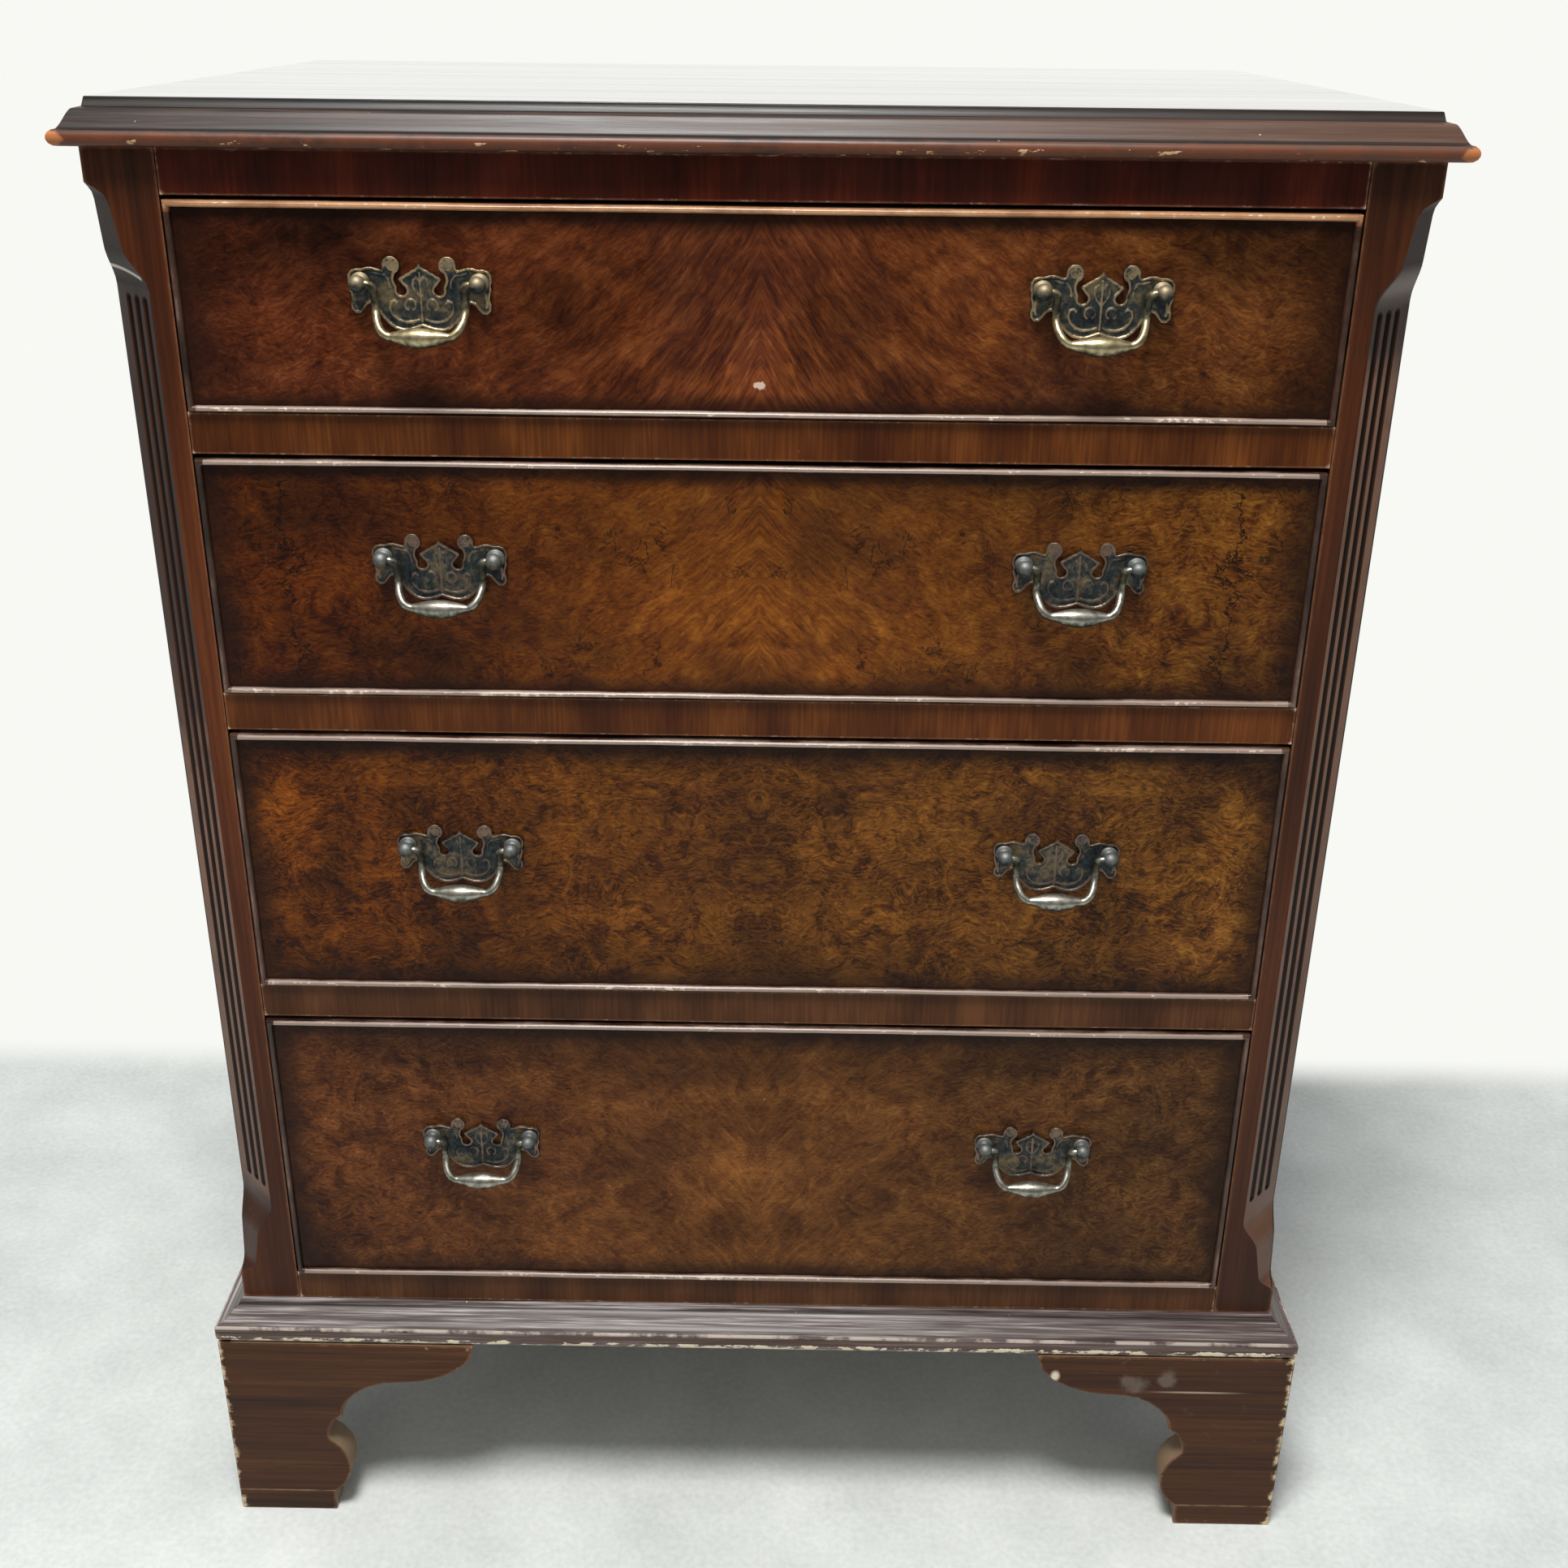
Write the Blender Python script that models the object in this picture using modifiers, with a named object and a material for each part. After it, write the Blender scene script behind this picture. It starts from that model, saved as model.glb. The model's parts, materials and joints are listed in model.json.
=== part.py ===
"""
A small chest of four graduated drawers on scrolled bracket feet, with canted and fluted corners,
cock-beaded drawer fronts and pierced brass handles whose bails swing.

Units are metres and +Z is up. The drawers face -Y. The origin is on the floor, under the middle of
the bounding box. Pieces are built in the chest's own frame, where y = 0 is the front of the case, or
in a drawer's or a handle's frame, and empties place those frames.
"""

import math

import bmesh
import bpy
from mathutils import Matrix, Vector

# Clearances
GLUE_GAP = 0.0003  # between pieces that are glued or screwed, or that rest on each other
SLIDE_GAP = 0.0013  # at each side of a drawer
FOOT_GAP = 0.0006  # below a drawer front
HEAD_GAP = 0.0020  # above a drawer front
BEHIND_DRAWER = 0.0180
PIVOT_GAP = 0.0003  # round a bail's end in its post

# Case
CASE_WIDTH = 0.635
CASE_DEPTH = 0.439
SIDE_THICK = 0.018
BACK_THICK = 0.009
BOTTOM_THICK = 0.0196
FRIEZE_HEIGHT = 0.0215
FRIEZE_DEPTH = 0.030
HOUSING_DEPTH = 0.006
REBATE_DEPTH = 0.009
KICKER_WIDTH = 0.045

# Rails between the drawers
RAIL_HEIGHT = 0.021
RAIL_DEPTH = 0.052
TENON_LENGTH = 0.012
TENON_HEIGHT = 0.010
TENON_DEPTH = 0.016
TENON_SETBACK = 0.009
STOP_WIDTH = 0.040
STOP_HEIGHT = 0.005
STOP_DEPTH = 0.018
STOP_SPACING = 0.340

# Dust boards, runners and guides
RUNNER_WIDTH = 0.045
DUST_THICK = 0.008
GUIDE_HEIGHT = 0.014
GUIDE_INSET = 0.004  # of the lowest guides' ends from the board that they are glued to

# Corner posts
POST_WIDTH = 0.0345
POST_DEPTH = 0.0345
CANT = 0.024  # width of the cut on each face of the post
STOP_MARGIN_TOP = 0.016
STOP_MARGIN_LOW = 0.0185
TONGUE_NOSE_HEIGHT = 0.0085
TONGUE_NOSE_CUT = 0.0100
TONGUE_NECK_HEIGHT = 0.0290
TONGUE_NECK_CUT = 0.0135
TONGUE_HEIGHT = 0.0500
FLUTE_COUNT = 3
FLUTE_WIDTH = 0.0052
FLUTE_DEPTH = 0.0018
FLUTE_PITCH = 0.0085
FLUTE_SHIFT = 0.0024  # of the middle flute, outwards from the middle of the cant
FLUTE_MARGIN_TOP = 0.0025
FLUTE_MARGIN_LOW = 0.0120

# Moulded edge of the top board: a fillet, a ledge, an ogee and a round bead
TOP_THICK = 0.0215
TOP_OVERHANG = 0.0109
TOP_MOULDING_WIDTH = 0.0148
TOP_FILLET_HEIGHT = 0.0043
TOP_FILLET_SLOPE = 0.0012
TOP_LEDGE_WIDTH = 0.0037
TOP_LEDGE_DROP = 0.0008
TOP_BEAD_RADIUS = 0.0038

# Base frame and its moulded edge: a fillet, an ogee and a square nosing
FRAME_THICK = 0.0234
FRAME_WIDTH = 0.060
FRAME_OVERHANG = 0.0158
FRAME_FILLET_HEIGHT = 0.0030
FRAME_FILLET_WIDTH = 0.0026
FRAME_OGEE_HEIGHT = 0.0078
FRAME_OGEE_WIDTH = 0.0102
FRAME_NOSE_STEP = 0.0012
FRAME_NOSE_RADIUS = 0.0040

# Bracket feet
FOOT_HEIGHT = 0.137
FOOT_OVERHANG = 0.0153
BRACKET_THICK = 0.018
ANKLE_WIDTH = 0.0618
ANKLE_HEIGHT = 0.015
LOBE_HEIGHT = 0.045
LOBE_BULGE = 0.0122
CUSP_WIDTH = 0.072
CUSP_HEIGHT = 0.078
ARCH_WIDTH = 0.110
ARCH_HEIGHT = 0.1068
BRACKET_LENGTH = 0.1584
REAR_ANKLE_WIDTH = 0.058
REAR_BRACKET_LENGTH = 0.120
REAR_BRACKET_RISE = 0.045
BLOCK_SIZE = 0.032
BLOCK_LIFT = 0.006

# Drawers, from the top one down
DRAWER_NAMES = ("top", "second", "third", "bottom")
FRONT_HEIGHTS = (0.0994, 0.1249, 0.1539, 0.1814)
FRONT_THICK = 0.0210
BEAD_THICK = 0.0045
BEAD_DEPTH = 0.0095
BEAD_PROUD = 0.0030
DRAWER_SIDE_THICK = 0.010
DRAWER_BACK_THICK = 0.010
SIDE_DROP = 0.002  # of a side's top edge below the front's
BACK_DROP = 0.008
PANEL_THICK = 0.006
PANEL_LIFT = 0.010
GROOVE_DEPTH = 0.004
TAIL_LENGTH = 0.0100
TAIL_PITCH = 0.030  # the nearest whole number of tails is used
TAIL_SHARE = 0.68  # of the pitch that a tail's wide end takes
TAIL_SLOPE = 1 / 6

# Handles
HANDLE_SPACING = 0.325
HANDLE_LIFT = 0.0135  # of the bail's axis above the middle of the drawer front
POST_SPACING = 0.057
PLATE_THICK = 0.0020
PLATE_MARGIN = 0.0060  # from a post to the plate's end
PLATE_DROP = 0.0228  # from the bail's axis to the plate's lower edge
POST_REACH = 0.0090  # from the drawer front to the bail's axis
POST_BALL_RADIUS = 0.0042
POST_NECK_RADIUS = 0.0024
COLLAR_RADIUS = 0.0048
COLLAR_THICK = 0.0014
SHANK_RADIUS = 0.0021
NUT_RADIUS = 0.0055
NUT_THICK = 0.0040
PIVOT_RADIUS = 0.0015
PIVOT_DEPTH = 0.0068  # that a bail's end enters its post
ARM_RADIUS = 0.0019
ARM_INSET = 0.0069  # of a bail's arm from its post's middle
GRIP_RADIUS = 0.0037
GRIP_WIDTH = 0.0280
GRIP_DROP = 0.0255
GRIP_FORWARD = 0.0050
GRIP_ARCH = 0.0010  # rise of the grip's middle above its ends

# Fineness of round shapes
OGEE_STEPS = 8
BEAD_STEPS = 7
FOOT_STEPS = 7
ROUND_SIDES = 8
EXTRA = 0.010  # by which a cutter runs past what it cuts
DIGITS = 6  # decimals that a corner's coordinates keep

# Heights and widths that follow from the values above
CASE_LOW = FOOT_HEIGHT + FRAME_THICK
FLOOR_OF_LOWEST = CASE_LOW + BOTTOM_THICK
OPENING_HEIGHTS = tuple(height + FOOT_GAP + HEAD_GAP for height in FRONT_HEIGHTS)
OPENINGS_HIGH = FLOOR_OF_LOWEST + sum(OPENING_HEIGHTS) + (len(FRONT_HEIGHTS) - 1) * RAIL_HEIGHT
CASE_HIGH = OPENINGS_HIGH + FRIEZE_HEIGHT
CHEST_HEIGHT = CASE_HIGH + TOP_THICK
HALF_CASE = CASE_WIDTH / 2
HALF_OPENING = HALF_CASE - POST_WIDTH
HALF_DRAWER = HALF_OPENING - SLIDE_GAP
SIDE_INNER = HALF_CASE - SIDE_THICK
BACK_FRONT = CASE_DEPTH - BACK_THICK
DRAWER_LENGTH = BACK_FRONT - BEHIND_DRAWER
HOUSED = SIDE_INNER + HOUSING_DEPTH
REACH = max(POST_REACH + GRIP_FORWARD + GRIP_RADIUS, FRAME_OVERHANG, FOOT_OVERHANG, TOP_OVERHANG)
FRONT_Y = (REACH - CASE_DEPTH) / 2


def opening_low(index):
    """Height of the surface that drawer `index` runs on, counted from the top drawer."""
    below = OPENING_HEIGHTS[index + 1 :]
    return FLOOR_OF_LOWEST + sum(below) + len(below) * RAIL_HEIGHT


# Scene, collections and finishes
for old in list(bpy.data.objects):
    bpy.data.objects.remove(old)

parts = bpy.data.collections.new("chest_of_drawers")
cutters = bpy.data.collections.new("cutters")
cutters.hide_render = True
for collection in (parts, cutters):
    bpy.context.scene.collection.children.link(collection)


def finish(name, colour, roughness, metallic=0.0):
    material = bpy.data.materials.new(name)
    material.use_nodes = True
    shader = material.node_tree.nodes["Principled BSDF"]
    shader.inputs["Base Color"].default_value = (*colour, 1.0)
    shader.inputs["Roughness"].default_value = roughness
    shader.inputs["Metallic"].default_value = metallic
    material.diffuse_color = (*colour, 1.0)
    return material


MAHOGANY = finish("polished_mahogany", (0.085, 0.022, 0.010), 0.30)
DARK_EDGE = finish("ebonised_moulding", (0.030, 0.018, 0.014), 0.28)
WALNUT = finish("figured_walnut_veneer", (0.190, 0.062, 0.018), 0.25)
CROSSBAND = finish("crossbanded_walnut", (0.095, 0.036, 0.014), 0.32)
WORN_BEAD = finish("worn_cock_bead", (0.330, 0.180, 0.100), 0.40)
PINE = finish("aged_pine", (0.360, 0.210, 0.090), 0.65)
BRONZE = finish("dark_brass", (0.110, 0.095, 0.065), 0.38, 0.9)
BRASS = finish("rubbed_brass", (0.560, 0.500, 0.370), 0.30, 1.0)


# Frames that carry moving pieces
def frame_at(name, location, parent=None):
    empty = bpy.data.objects.new(name, None)
    empty.empty_display_size = 0.05
    empty.location = location
    empty.parent = parent
    parts.objects.link(empty)
    return empty


def place(obj, parent, location=(0.0, 0.0, 0.0)):
    obj.parent = parent
    obj.location = location
    return obj


# Building blocks
def node(name, mesh, material):
    """A piece of the chest, in the parts collection."""
    obj = bpy.data.objects.new(name, mesh)
    mesh.materials.clear()
    mesh.materials.append(material)
    parts.objects.link(obj)
    return obj


def cutter(name, mesh, parent):
    """A helper that a Boolean reads. It isn't part of the chest."""
    obj = bpy.data.objects.new(name, mesh)
    obj.hide_render = True
    obj.display_type = "WIRE"
    obj.parent = parent
    cutters.objects.link(obj)
    return obj


def box_mesh(name, low, high):
    """A box between two corners."""
    low = Vector(low)
    high = Vector(high)
    shape = bmesh.new()
    bmesh.ops.create_cube(shape, size=1.0)
    bmesh.ops.scale(shape, vec=high - low, verts=shape.verts)
    bmesh.ops.translate(shape, vec=(high + low) / 2, verts=shape.verts)
    return finished(shape, name)


def finished(shape, name):
    """Turns a bmesh into a mesh with its faces pointing out.

    Corners are rounded to a thousandth of a millimetre, so that faces meant to lie in one plane do
    so exactly, which Booleans need.
    """
    for vert in shape.verts:
        vert.co = [round(value, DIGITS) for value in vert.co]
    bmesh.ops.recalc_face_normals(shape, faces=shape.faces)
    mesh = bpy.data.meshes.new(name)
    shape.to_mesh(mesh)
    shape.free()
    return mesh


PLANES = {
    "XZ": Matrix(((1, 0, 0), (0, 0, -1), (0, 1, 0))).to_4x4(),
    "YZ": Matrix(((0, 0, 1), (1, 0, 0), (0, 1, 0))).to_4x4(),
    "XY": Matrix.Identity(4),
}


def slab_mesh(name, outlines, low, high, plane="XZ"):
    """Extrudes outlines in a plane, from low to high along the plane's third axis.

    plane is XZ, YZ or XY, or a matrix whose first two columns are the directions of an outline's
    coordinates. The first outline is the outer one, and the rest are holes.
    """
    curve = bpy.data.curves.new(name, "CURVE")
    curve.dimensions = "2D"
    curve.fill_mode = "BOTH"
    curve.extrude = (high - low) / 2
    for outline in outlines:
        spline = curve.splines.new("POLY")
        spline.points.add(len(outline) - 1)
        for point, (a, b) in zip(spline.points, outline):
            point.co = (round(a, DIGITS), round(b, DIGITS), 0.0, 1.0)
        spline.use_cyclic_u = True
    guide = bpy.data.objects.new(name, curve)
    cutters.objects.link(guide)
    turn = PLANES[plane] if isinstance(plane, str) else plane
    # The XZ plane's third axis is -Y.
    along = -1.0 if plane == "XZ" else 1.0
    guide.matrix_world = turn @ Matrix.Translation((0.0, 0.0, along * (low + high) / 2))
    return mesh_of(guide, name)


def turned_mesh(name, profile, sides, turn):
    """Turns a profile of (radius, height) about Z, and moves the result by a matrix.

    The profile runs from the top down, and starts and ends on the axis.
    """
    outline = bpy.data.meshes.new(name)
    links = [(index, index + 1) for index in range(len(profile) - 1)]
    outline.from_pydata([(radius, 0.0, height) for radius, height in profile], links, [])
    guide = bpy.data.objects.new(name, outline)
    cutters.objects.link(guide)
    lathe = guide.modifiers.new("lathe", "SCREW")
    lathe.steps = sides
    lathe.render_steps = sides
    lathe.use_merge_vertices = True
    lathe.merge_threshold = 1e-6
    guide.matrix_world = turn
    return mesh_of(guide, name)


def mesh_of(guide, name):
    """Makes a curve or a turned profile a closed mesh in its parent's frame, and removes it."""
    bpy.context.view_layer.update()
    graph = bpy.context.evaluated_depsgraph_get()
    raw = bpy.data.meshes.new_from_object(guide.evaluated_get(graph))
    shape = bmesh.new()
    shape.from_mesh(raw)
    bmesh.ops.transform(shape, matrix=guide.matrix_world, verts=shape.verts)
    bmesh.ops.remove_doubles(shape, verts=shape.verts, dist=1e-6)
    bpy.data.objects.remove(guide)
    bpy.data.meshes.remove(raw)
    return finished(shape, name)


def joined_mesh(name, meshes):
    """Several separate bodies as one mesh, for a cutter."""
    shape = bmesh.new()
    for mesh in meshes:
        shape.from_mesh(mesh)
        bpy.data.meshes.remove(mesh)
    return finished(shape, name)


def boolean(obj, operation, mesh, name):
    """Adds a live Boolean to obj, with a helper in the same frame."""
    modifier = obj.modifiers.new(name, "BOOLEAN")
    modifier.operation = operation
    modifier.solver = "EXACT"
    modifier.object = cutter(f"{obj.name}_{name}", mesh, obj.parent)
    return obj


def cut(obj, mesh, name):
    return boolean(obj, "DIFFERENCE", mesh, name)


def fuse(obj, mesh, name):
    return boolean(obj, "UNION", mesh, name)


def box(name, low, high, material, parent):
    return place(node(name, box_mesh(name, low, high), material), parent)


def arc(centre, radii, start, end, steps):
    """Points along an ellipse's arc, with angles in degrees."""
    points = []
    for step in range(steps + 1):
        angle = math.radians(start + (end - start) * step / steps)
        points.append((centre[0] + radii[0] * math.cos(angle), centre[1] + radii[1] * math.sin(angle)))
    return points


def ogee(start, end, steps):
    """Points of a gentle S curve, whose ends are half as steep as its straight line."""
    points = []
    for step in range(steps + 1):
        t = step / steps
        ease = (t + t * t * (3 - 2 * t)) / 2
        points.append((start[0] + (end[0] - start[0]) * t, start[1] + (end[1] - start[1]) * ease))
    return points


def mirrored(points):
    """The same outline on the other side of the first coordinate's zero, run the other way."""
    return [(-a, b) for a, b in reversed(points)]


def smooth(obj, angle=35.0):
    obj.data.shade_smooth()
    obj.data.set_sharp_from_angle(angle=math.radians(angle))
    return obj


# Moulded slabs: the top board and the base frame
def top_edge():
    """The top's moulded edge as (distance out from the case, height), from the top face down."""
    tip = TOP_OVERHANG
    top = CHEST_HEIGHT
    fillet_out = tip - TOP_MOULDING_WIDTH + TOP_FILLET_SLOPE
    ledge_low = top - TOP_FILLET_HEIGHT - TOP_LEDGE_DROP
    bead_middle = (tip - TOP_BEAD_RADIUS, CASE_HIGH + GLUE_GAP + TOP_BEAD_RADIUS)
    bead = arc(bead_middle, (TOP_BEAD_RADIUS, TOP_BEAD_RADIUS), 90.0, -90.0, BEAD_STEPS)
    points = [(tip - TOP_MOULDING_WIDTH, top), (fillet_out, top - TOP_FILLET_HEIGHT)]
    ledge_end = (fillet_out + TOP_LEDGE_WIDTH, ledge_low)
    return points + ogee(ledge_end, bead[0], OGEE_STEPS) + bead[1:]


def frame_edge():
    """The base frame's moulded edge as (distance out from the case, height), from the top down."""
    tip = FRAME_OVERHANG
    top = CASE_LOW
    low = FOOT_HEIGHT + GLUE_GAP
    fillet = (FRAME_FILLET_WIDTH, top - FRAME_FILLET_HEIGHT)
    ogee_end = (fillet[0] + FRAME_OGEE_WIDTH, fillet[1] - FRAME_OGEE_HEIGHT)
    nose = (tip - FRAME_NOSE_RADIUS, low + FRAME_NOSE_RADIUS)
    nosing = arc(nose, (FRAME_NOSE_RADIUS, FRAME_NOSE_RADIUS), 0.0, -90.0, 3)
    edge = [(FRAME_FILLET_WIDTH * 0.6, top), fillet]
    step_down = [(tip, ogee_end[1] - FRAME_NOSE_STEP)]
    return edge + ogee(fillet, ogee_end, OGEE_STEPS)[1:] + step_down + nosing


def moulded_slab(name, edge, material, parent):
    """A slab whose front and two ends carry the same moulding, mitred at the corners.

    It is what two extrusions have in common: one along Y with the moulding on both ends, and one
    along X with the moulding on the front.
    """
    top = edge[0][1]
    low = edge[-1][1]
    across = [(HALF_CASE + out, height) for out, height in edge]
    outline = across + mirrored(across)
    slab = node(name, slab_mesh(name, [outline], -EXTRA - FRAME_OVERHANG, CASE_DEPTH), material)
    place(slab, parent)
    front = [(-out, height) for out, height in edge]
    above = [(front[0][0], top + EXTRA)]
    behind = [(CASE_DEPTH + EXTRA, low - EXTRA), (CASE_DEPTH + EXTRA, top + EXTRA)]
    profile = above + front + [(front[-1][0], low - EXTRA)] + behind
    reach = HALF_CASE + FRAME_OVERHANG + EXTRA
    boolean(slab, "INTERSECT", slab_mesh("mitre", [profile], -reach, reach, "YZ"), "mitre")
    return slab


# Corner posts
def cant_cut(height, low, high):
    """Width that is cut off each face of a post's corner, at a height between the two stops."""
    from_stop = min(height - low, high - height)
    if from_stop <= 0:
        return 0.0
    if from_stop < TONGUE_NOSE_HEIGHT:
        return TONGUE_NOSE_CUT * math.sin(math.pi / 2 * from_stop / TONGUE_NOSE_HEIGHT)
    if from_stop < TONGUE_NECK_HEIGHT:
        share = (from_stop - TONGUE_NOSE_HEIGHT) / (TONGUE_NECK_HEIGHT - TONGUE_NOSE_HEIGHT)
        return TONGUE_NOSE_CUT + (TONGUE_NECK_CUT - TONGUE_NOSE_CUT) * share
    if from_stop < TONGUE_HEIGHT:
        share = (from_stop - TONGUE_NECK_HEIGHT) / (TONGUE_HEIGHT - TONGUE_NECK_HEIGHT)
        return TONGUE_NECK_CUT + (CANT - TONGUE_NECK_CUT) * share * share * (3 - 2 * share)
    return CANT


def tongue_heights():
    """Distances from a stop at which the tongue's outline has a point."""
    nose = [TONGUE_NOSE_HEIGHT * (1 - math.cos(math.pi / 2 * step / 4)) for step in range(5)]
    sweep = TONGUE_HEIGHT - TONGUE_NECK_HEIGHT
    return nose + [TONGUE_NECK_HEIGHT + sweep * step / 6 for step in range(7)]


def diagonal(side):
    """Matrix whose columns point into the post from its outer corner, up, and across the cant."""
    inward = Vector((-side, 1.0, 0.0)).normalized()
    up = Vector((0.0, 0.0, 1.0))
    turn = Matrix((inward, up, inward.cross(up))).transposed().to_4x4()
    return Matrix.Translation((side * HALF_CASE, 0.0, 0.0)) @ turn


def cant_mesh(side):
    """The waste that leaves the cant and its two tongues, as an outline seen along the cant."""
    low = CASE_LOW + STOP_MARGIN_LOW
    high = CASE_HIGH - STOP_MARGIN_TOP
    rising = [low + step for step in tongue_heights()]
    falling = [high - step for step in reversed(tongue_heights())]
    edge = [(cant_cut(z, low, high) / math.sqrt(2), z) for z in rising + falling]
    outline = [(-EXTRA, low)] + edge + [(-EXTRA, high)]
    reach = CANT + EXTRA
    return slab_mesh("cant", [outline], -reach, reach, diagonal(side))


def flute_mesh(side, offset):
    """A round rod with domed ends, set so that it leaves one flute in the cant."""
    half_width = FLUTE_WIDTH / 2
    radius = (half_width**2 + FLUTE_DEPTH**2) / (2 * FLUTE_DEPTH)
    low = CASE_LOW + STOP_MARGIN_LOW + TONGUE_HEIGHT + FLUTE_MARGIN_LOW
    high = CASE_HIGH - STOP_MARGIN_TOP - TONGUE_HEIGHT - FLUTE_MARGIN_TOP
    dome = arc((0.0, high - half_width), (radius, half_width), 90.0, 0.0, 4)
    profile = dome + [(a, low + high - b) for a, b in reversed(dome)]
    face = CANT / math.sqrt(2)
    on_cant = Vector((face - (radius - FLUTE_DEPTH), 0.0, side * offset))
    place_there = Matrix.Translation(diagonal(side) @ on_cant)
    return turned_mesh("flute", profile, 2 * ROUND_SIDES, place_there)


def corner_post(name, side, parent):
    inner = side * HALF_OPENING
    outer = side * HALF_CASE
    low = (min(inner, outer), 0.0, CASE_LOW + GLUE_GAP)
    high = (max(inner, outer), POST_DEPTH, CASE_HIGH)
    post = box(name, low, high, MAHOGANY, parent)
    cut(post, cant_mesh(side), "cant")
    for index in range(FLUTE_COUNT):
        offset = (index - (FLUTE_COUNT - 1) / 2) * FLUTE_PITCH - FLUTE_SHIFT
        cut(post, flute_mesh(side, offset), f"flute_{index}")
    mortises = [tenon_mesh(side, height, GLUE_GAP) for height in tenon_heights()]
    cut(post, joined_mesh("mortises", mortises), "mortises")
    return post


# Rails, dust boards and the rest of the case
def tenon_heights():
    """Middle heights of the stub tenons, one for each rail and one for the frieze."""
    rails = [opening_low(index) - RAIL_HEIGHT / 2 for index in range(len(FRONT_HEIGHTS) - 1)]
    return rails + [OPENINGS_HIGH + FRIEZE_HEIGHT / 2]


def tenon_mesh(side, middle, gap=0.0):
    """A rail's stub tenon, or with a gap the mortise that takes it."""
    start = side * (HALF_OPENING - EXTRA)
    end = side * (HALF_OPENING + TENON_LENGTH + gap)
    low_y = TENON_SETBACK - gap
    high_y = TENON_SETBACK + TENON_DEPTH + gap
    half = TENON_HEIGHT / 2 + gap
    low = (min(start, end), low_y, middle - half)
    high = (max(start, end), high_y, middle + half)
    return box_mesh("tenon", low, high)


def rail(name, low, high, depth, material, parent):
    """A cross rail between the posts, with a stub tenon at each end."""
    half = HALF_OPENING - GLUE_GAP
    piece = box(name, (-half, 0.0, low), (half, depth, high), material, parent)
    for side, word in ((-1, "left"), (1, "right")):
        fuse(piece, tenon_mesh(side, (low + high) / 2), f"{word}_tenon")
    return piece


def add_stops(piece, surface):
    """Two blocks that meet the back of a closed drawer front."""
    for side, word in ((-1, "left"), (1, "right")):
        middle = side * STOP_SPACING / 2
        start = FRONT_THICK + GLUE_GAP
        low = (middle - STOP_WIDTH / 2, start, surface - EXTRA / 2)
        high = (middle + STOP_WIDTH / 2, start + STOP_DEPTH, surface + STOP_HEIGHT)
        fuse(piece, box_mesh("stop", low, high), f"{word}_stop")


def dust_board(name, surface, parent):
    """Two runners with guides on them, and the thin board that they hold, as one cross-section."""
    outer = HOUSED - GLUE_GAP
    wall = SIDE_INNER - GLUE_GAP
    inner = HALF_OPENING - RUNNER_WIDTH
    low = surface - RAIL_HEIGHT
    middle = surface - RAIL_HEIGHT / 2
    right = [
        (inner, middle - DUST_THICK / 2),
        (inner, low),
        (outer, low),
        (outer, surface),
        (wall, surface),
        (wall, surface + GUIDE_HEIGHT),
        (HALF_OPENING, surface + GUIDE_HEIGHT),
        (HALF_OPENING, surface),
        (inner, surface),
        (inner, middle + DUST_THICK / 2),
    ]
    outline = right + mirrored(right)
    front = RAIL_DEPTH + GLUE_GAP
    mesh = slab_mesh(name, [outline], front, BACK_FRONT - GLUE_GAP)
    return place(node(name, mesh, PINE), parent)


def side_panel(name, side, parent):
    inner = side * SIDE_INNER
    outer = side * HALF_CASE
    low = (min(inner, outer), POST_DEPTH + GLUE_GAP, CASE_LOW + GLUE_GAP)
    high = (max(inner, outer), CASE_DEPTH, CASE_HIGH)
    panel = box(name, low, high, MAHOGANY, parent)

    def waste(inset, low_y, high_y, low_z, high_z):
        start = side * (SIDE_INNER - EXTRA)
        end = side * (SIDE_INNER + inset)
        return box_mesh("waste", (min(start, end), low_y, low_z), (max(start, end), high_y, high_z))

    housings = []
    for index in range(len(FRONT_HEIGHTS) - 1):
        surface = opening_low(index)
        bottom = surface - RAIL_HEIGHT - GLUE_GAP
        front = RAIL_DEPTH - GLUE_GAP
        housings.append(waste(HOUSING_DEPTH, front, BACK_FRONT, bottom, surface + GLUE_GAP))
    cut(panel, joined_mesh("housings", housings), "housings")
    rebate_front = BACK_FRONT - GLUE_GAP
    rebate = waste(
        REBATE_DEPTH, rebate_front, CASE_DEPTH + EXTRA, CASE_LOW - EXTRA, CASE_HIGH + EXTRA
    )
    cut(panel, rebate, "back_rebate")
    floor_rebate = waste(
        REBATE_DEPTH, 0.0, BACK_FRONT, CASE_LOW - EXTRA, FLOOR_OF_LOWEST + GLUE_GAP
    )
    cut(panel, floor_rebate, "floor_rebate")
    return panel


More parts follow.
